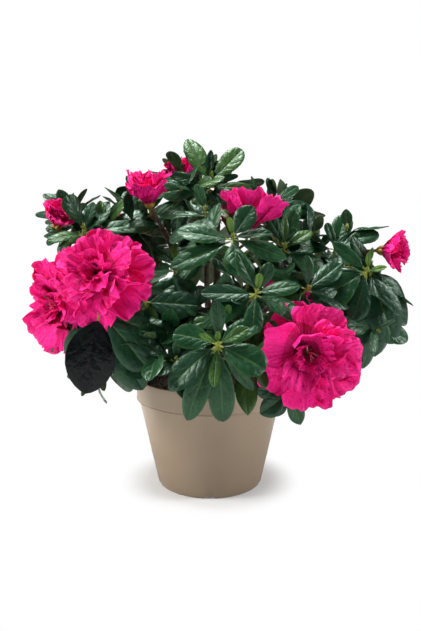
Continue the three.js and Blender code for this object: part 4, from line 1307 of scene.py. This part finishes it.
leftPetals = [
    (35, 0.92, 1.05, 6, -10, 0.1, 3.4), (340, 0.92, 1.2, 14, -16, 0.06, 2.4),
    (288, 1.1, 1.1, 10, -10, 0.1, 4.6), (236, 1.06, 1.15, 8, -12, 0.08, 4.4),
    (168, 1.1, 1.4, 10, -22, 0.06, 1.6), (110, 1.0, 1.1, 10, -10, 0.1, 2.6),
    (75, 1.0, 0.95, 16, -14, 0.1, 3.2), (20, 0.78, 0.85, 36, -20, 0.15, 3.0),
    (305, 0.86, 0.95, 34, -24, 0.1, 2.6), (255, 0.8, 0.85, 38, -24, 0.12, 3.2),
    (203, 0.84, 1.0, 30, -40, 0.1, 3.2), (130, 0.76, 0.8, 38, -20, 0.15, 2.6),
    (70, 0.72, 0.62, 46, -16, 0.2, 3.0), (345, 0.66, 0.75, 62, -34, 0.25, 3.2),
    (40, 0.54, 0.5, 78, -44, 0.3, 3.2), (88, 0.54, 0.46, 76, -46, 0.3, 3.2),
    (182, 0.68, 1.0, 74, -62, 0.25, 3.2), (245, 0.52, 0.5, 76, -50, 0.3, 3.0),
    (300, 0.56, 0.6, 72, -46, 0.3, 3.2), (130, 0.42, 0.45, 86, -40, 0.3, 2.8),
    (10, 0.4, 0.42, 86, -34, 0.3, 2.8),
]
funnelPetals = [
    (20, 1.5, 1.35, 58, -24, 0.1, 2.4), (320, 1.5, 1.35, 58, -24, 0.1, 2.4),
    (100, 1.45, 1.25, 50, -20, 0.1, 2.2), (255, 1.65, 1.25, 38, -22, 0.1, 2.2),
    (150, 1.55, 1.4, 62, -22, 0.08, 1.8), (206, 1.55, 1.5, 64, -22, 0.08, 1.8),
    (60, 1.3, 0.85, 70, -14, 0.2, 2.4), (330, 1.3, 0.85, 70, -14, 0.2, 2.4),
    (175, 1.35, 0.85, 74, -14, 0.2, 2.2), (235, 1.35, 0.85, 70, -14, 0.2, 2.2),
]
# each form's petals, how far their foot lies behind the bloom's middle, and their reach, in half widths
bloomForms = {"open": (openRows, 0.3, 1.0), "halfOpen": (halfOpenRows, 0.9, 0.9),
              "right": (rightPetals, 0.3, 1.03),
              "left": (leftPetals, 0.3, 1.03), "funnel": (funnelPetals, 0.75, 0.95)}
blooms = {
    "bloom_left": {"form": "left", "face": (-0.3, -0.9, 0.22), "size": 72, "seed": 3, "stamens": 2},
    "bloom_left_low": {"form": "open", "face": (-0.74, -0.72, -0.04), "size": 78, "seed": 5, "stamens": 6},
    "bloom_right": {"form": "right", "face": (0.12, -0.97, 0.12), "size": 80, "seed": 8, "stamens": 5},
    "bloom_middle": {"form": "funnel", "face": (0.15, 0.2, 1), "size": 54, "seed": 11, "pleat": 0.9},
    "bloom_left_back": {"form": "open", "face": (-0.5, 0.75, 0.4), "size": 74, "seed": 13, "stamens": 6},
    "bloom_right_back": {"form": "open", "face": (0.55, 0.8, 0.15), "size": 70, "seed": 17, "stamens": 6},
    "bud_top_left": {"form": "halfOpen", "face": (-0.12, -0.25, 1), "size": 38, "seed": 19},
    "bud_top_back": {"form": "halfOpen", "face": (-0.25, 0.3, 1), "size": 36, "seed": 23, "sink": 0.6},
    "bud_left": {"form": "halfOpen", "face": (0.35, -0.5, 0.8), "size": 30, "seed": 29, "sink": 1.2},
    "bud_right": {"form": "halfOpen", "face": (1, -0.4, 0.05), "size": 31, "seed": 31, "sink": 0.75},
    "bud_back": {"form": "halfOpen", "face": (0.1, 0.7, 0.8), "size": 34, "seed": 37},
}


def petalsOf(form, rng):
    # every petal of a bloom as its own set of values, from its rows or its list
    count = len(form)
    if isinstance(form[0], tuple):
        for i, (turn, long, wide, rise, curl, cup, ruffle) in enumerate(form):
            yield {"turn": math.radians(turn + rng.normal(0, 3)), "depth": i / (count - 1),
                   "long": long * rng.uniform(0.94, 1.04), "wide": wide,
                   "rise": rise + rng.normal(0, 3), "curl": curl + rng.normal(0, 5), "cup": cup,
                   "ruffle": ruffle,
                   "waves": rng.uniform(1.6, 2.5), "late": 1.6 if rise < 57 else 2.2}
        return
    for row, petals in enumerate(form):
        start = rng.uniform(0, fullTurn)
        for i in range(petals["count"]):
            turn = start + (i + rng.uniform(-0.18, 0.18)) * 2 * math.pi / petals["count"]
            yield {**petals, "turn": turn, "depth": row / (count - 1),
                   "long": petals["long"] * rng.uniform(0.88, 1.08),
                   "wide": petals["wide"] * rng.uniform(0.88, 1.12),
                   "rise": petals["rise"] + rng.normal(0, 7), "curl": petals["curl"] + rng.normal(0, 12)}


# reach, bow: shares of the bloom's half width; anther: how far along and out it lies from the end, in mm
stamenShape = {"points": 9, "radius": 0.45 * mm, "sides": 5, "reach": (0.36, 0.5), "bow": (0.06, 0.22),
               "sway": 0.07, "antherAlong": (0, 0.8, 1.8), "antherOut": (0, 0, 0.6),
               "antherRadii": (0.35, 0.75, 0.3), "antherSides": 6}
# below: how far the stalk's end lies below the foot of the petals; into: how far it runs into them;
# along, out: where the points of the stalk and of its scales lie; all but the twig's radius in mm
stalkShape = {"below": 2, "along": (-6, -3, 0), "into": 1.5, "radii": (1.2, 1.2, 1.7, 2.2), "sides": 9,
              "twigRadius": 1.3 * mm, "scales": 5, "firstTurn": 0.3, "scaleAlong": (0, 3, 7, 9),
              "scaleOut": (1.2, 2.6, 3.4, 3.2), "scaleRadii": (1.2, 1.9, 1.2, 0.2), "scaleSides": 7}


def makeBloom(name, bloom, limbs, twigs, stamens):
    rng = np.random.default_rng(bloom["seed"])
    axis = unit(bloom["face"])
    size = bloom["size"] * mm / 2
    form, sink, reach = bloomForms[bloom["form"]]
    foot = boxOf(name)[0] - axis * size * bloom.get("sink", sink)
    reference = squareTo(up, axis)
    points, looks = [], []
    for petal in petalsOf(form, rng):
        out = turned(reference, axis, petal["turn"])
        petal.update(length=size * reach * petal["long"], width=size * petal["wide"],
                     ruffle=petal["ruffle"] * mm * (size / (40 * mm)) ** 0.6 * rng.uniform(0.8, 1.35),
                     pleat=bloom.get("pleat", 0.4) * mm * rng.uniform(0.5, 1.4),
                     crumple=rng.uniform(0.7, 1.3),
                     twist=rng.normal(0, 0.2))
        base = foot + out * size * 0.04 + axis * size * 0.1 * petal["depth"]
        points.append(petalPoints(base, out, axis, petal, rng))
        looks.append(petalLooks(petal["depth"]))
    declare(joinBlades("petals_" + name, petalMesh, points, looks, petalSlots), "petal", name)
    for i in range(bloom.get("stamens", 0)):
        addStamen(stamens, foot, axis, turned(reference, axis, rng.uniform(0, 6.3)), size, rng)
    # the stalk
    shape = stalkShape
    stalkEnd = foot - axis * shape["below"] * mm
    stalk = [stalkEnd + axis * along * mm for along in shape["along"]] + [foot + axis * shape["into"] * mm]
    growTwig(limbs, twigs, stalk[0], axis, shape["twigRadius"], rng)
    stalk = np.array(stalk)
    twigs.add(*tube(stalk, np.array(shape["radii"]) * mm, shape["sides"]), green)
    for i in range(shape["scales"]):
        outward = turned(reference, axis, i * 2 * math.pi / shape["scales"] + shape["firstTurn"])
        scale = np.array([stalkEnd + outward * out * mm + axis * along * mm
                          for out, along in zip(shape["scaleOut"], shape["scaleAlong"])])
        twigs.add(*tube(scale, np.array(shape["scaleRadii"]) * mm, shape["scaleSides"]), scaly)


def addStamen(stamens, foot, axis, outward, size, rng):
    # a stamen that curls out of the throat, with its anther
    shape = stamenShape
    reach = size * rng.uniform(*shape["reach"])
    t = np.linspace(0, 1, shape["points"])[:, None]
    bow = outward * size * rng.uniform(*shape["bow"]) * t ** 2
    bow = bow + np.cross(axis, outward) * size * rng.normal(0, shape["sway"]) * t ** 3
    line = foot + axis * (reach * (t - 0.12 * t ** 4)) + bow
    stamens.add(*tube(line, np.full(shape["points"], shape["radius"]), shape["sides"]), 0)
    anther = np.array([line[-1] + axis * along * mm + outward * out * mm
                       for along, out in zip(shape["antherAlong"], shape["antherOut"])])
    stamens.add(*tube(anther, np.array(shape["antherRadii"]) * mm, shape["antherSides"]), 1)


def makeBlooms(limbs, twigs):
    stamens = Bundle()
    for name, bloom in blooms.items():
        makeBloom(name, bloom, limbs, twigs, stamens)
    declare(stamens.make("stamens", [finishes["filament"], finishes["anther"]]), "petal")


makeCamera()
makeLights()
makeWorld()
makeFloor()
print("stage ready")
makePot()
makeCompost()
print("pot and compost ready")
limbs = Limbs()
makeWoodyFrame(limbs)
print("trunk and boughs ready")
twigs = growCrown(limbs)
makeBlooms(limbs, twigs)
declare(twigs.make("twigs", [finishes[slot] for slot in twigSlots]), "bark")
print("crown ready")

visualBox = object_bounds()
boxes = {"cad": cadBox, "visual": visualBox}
{name: [list(corner) for corner in box] for name, box in boxes.items()}
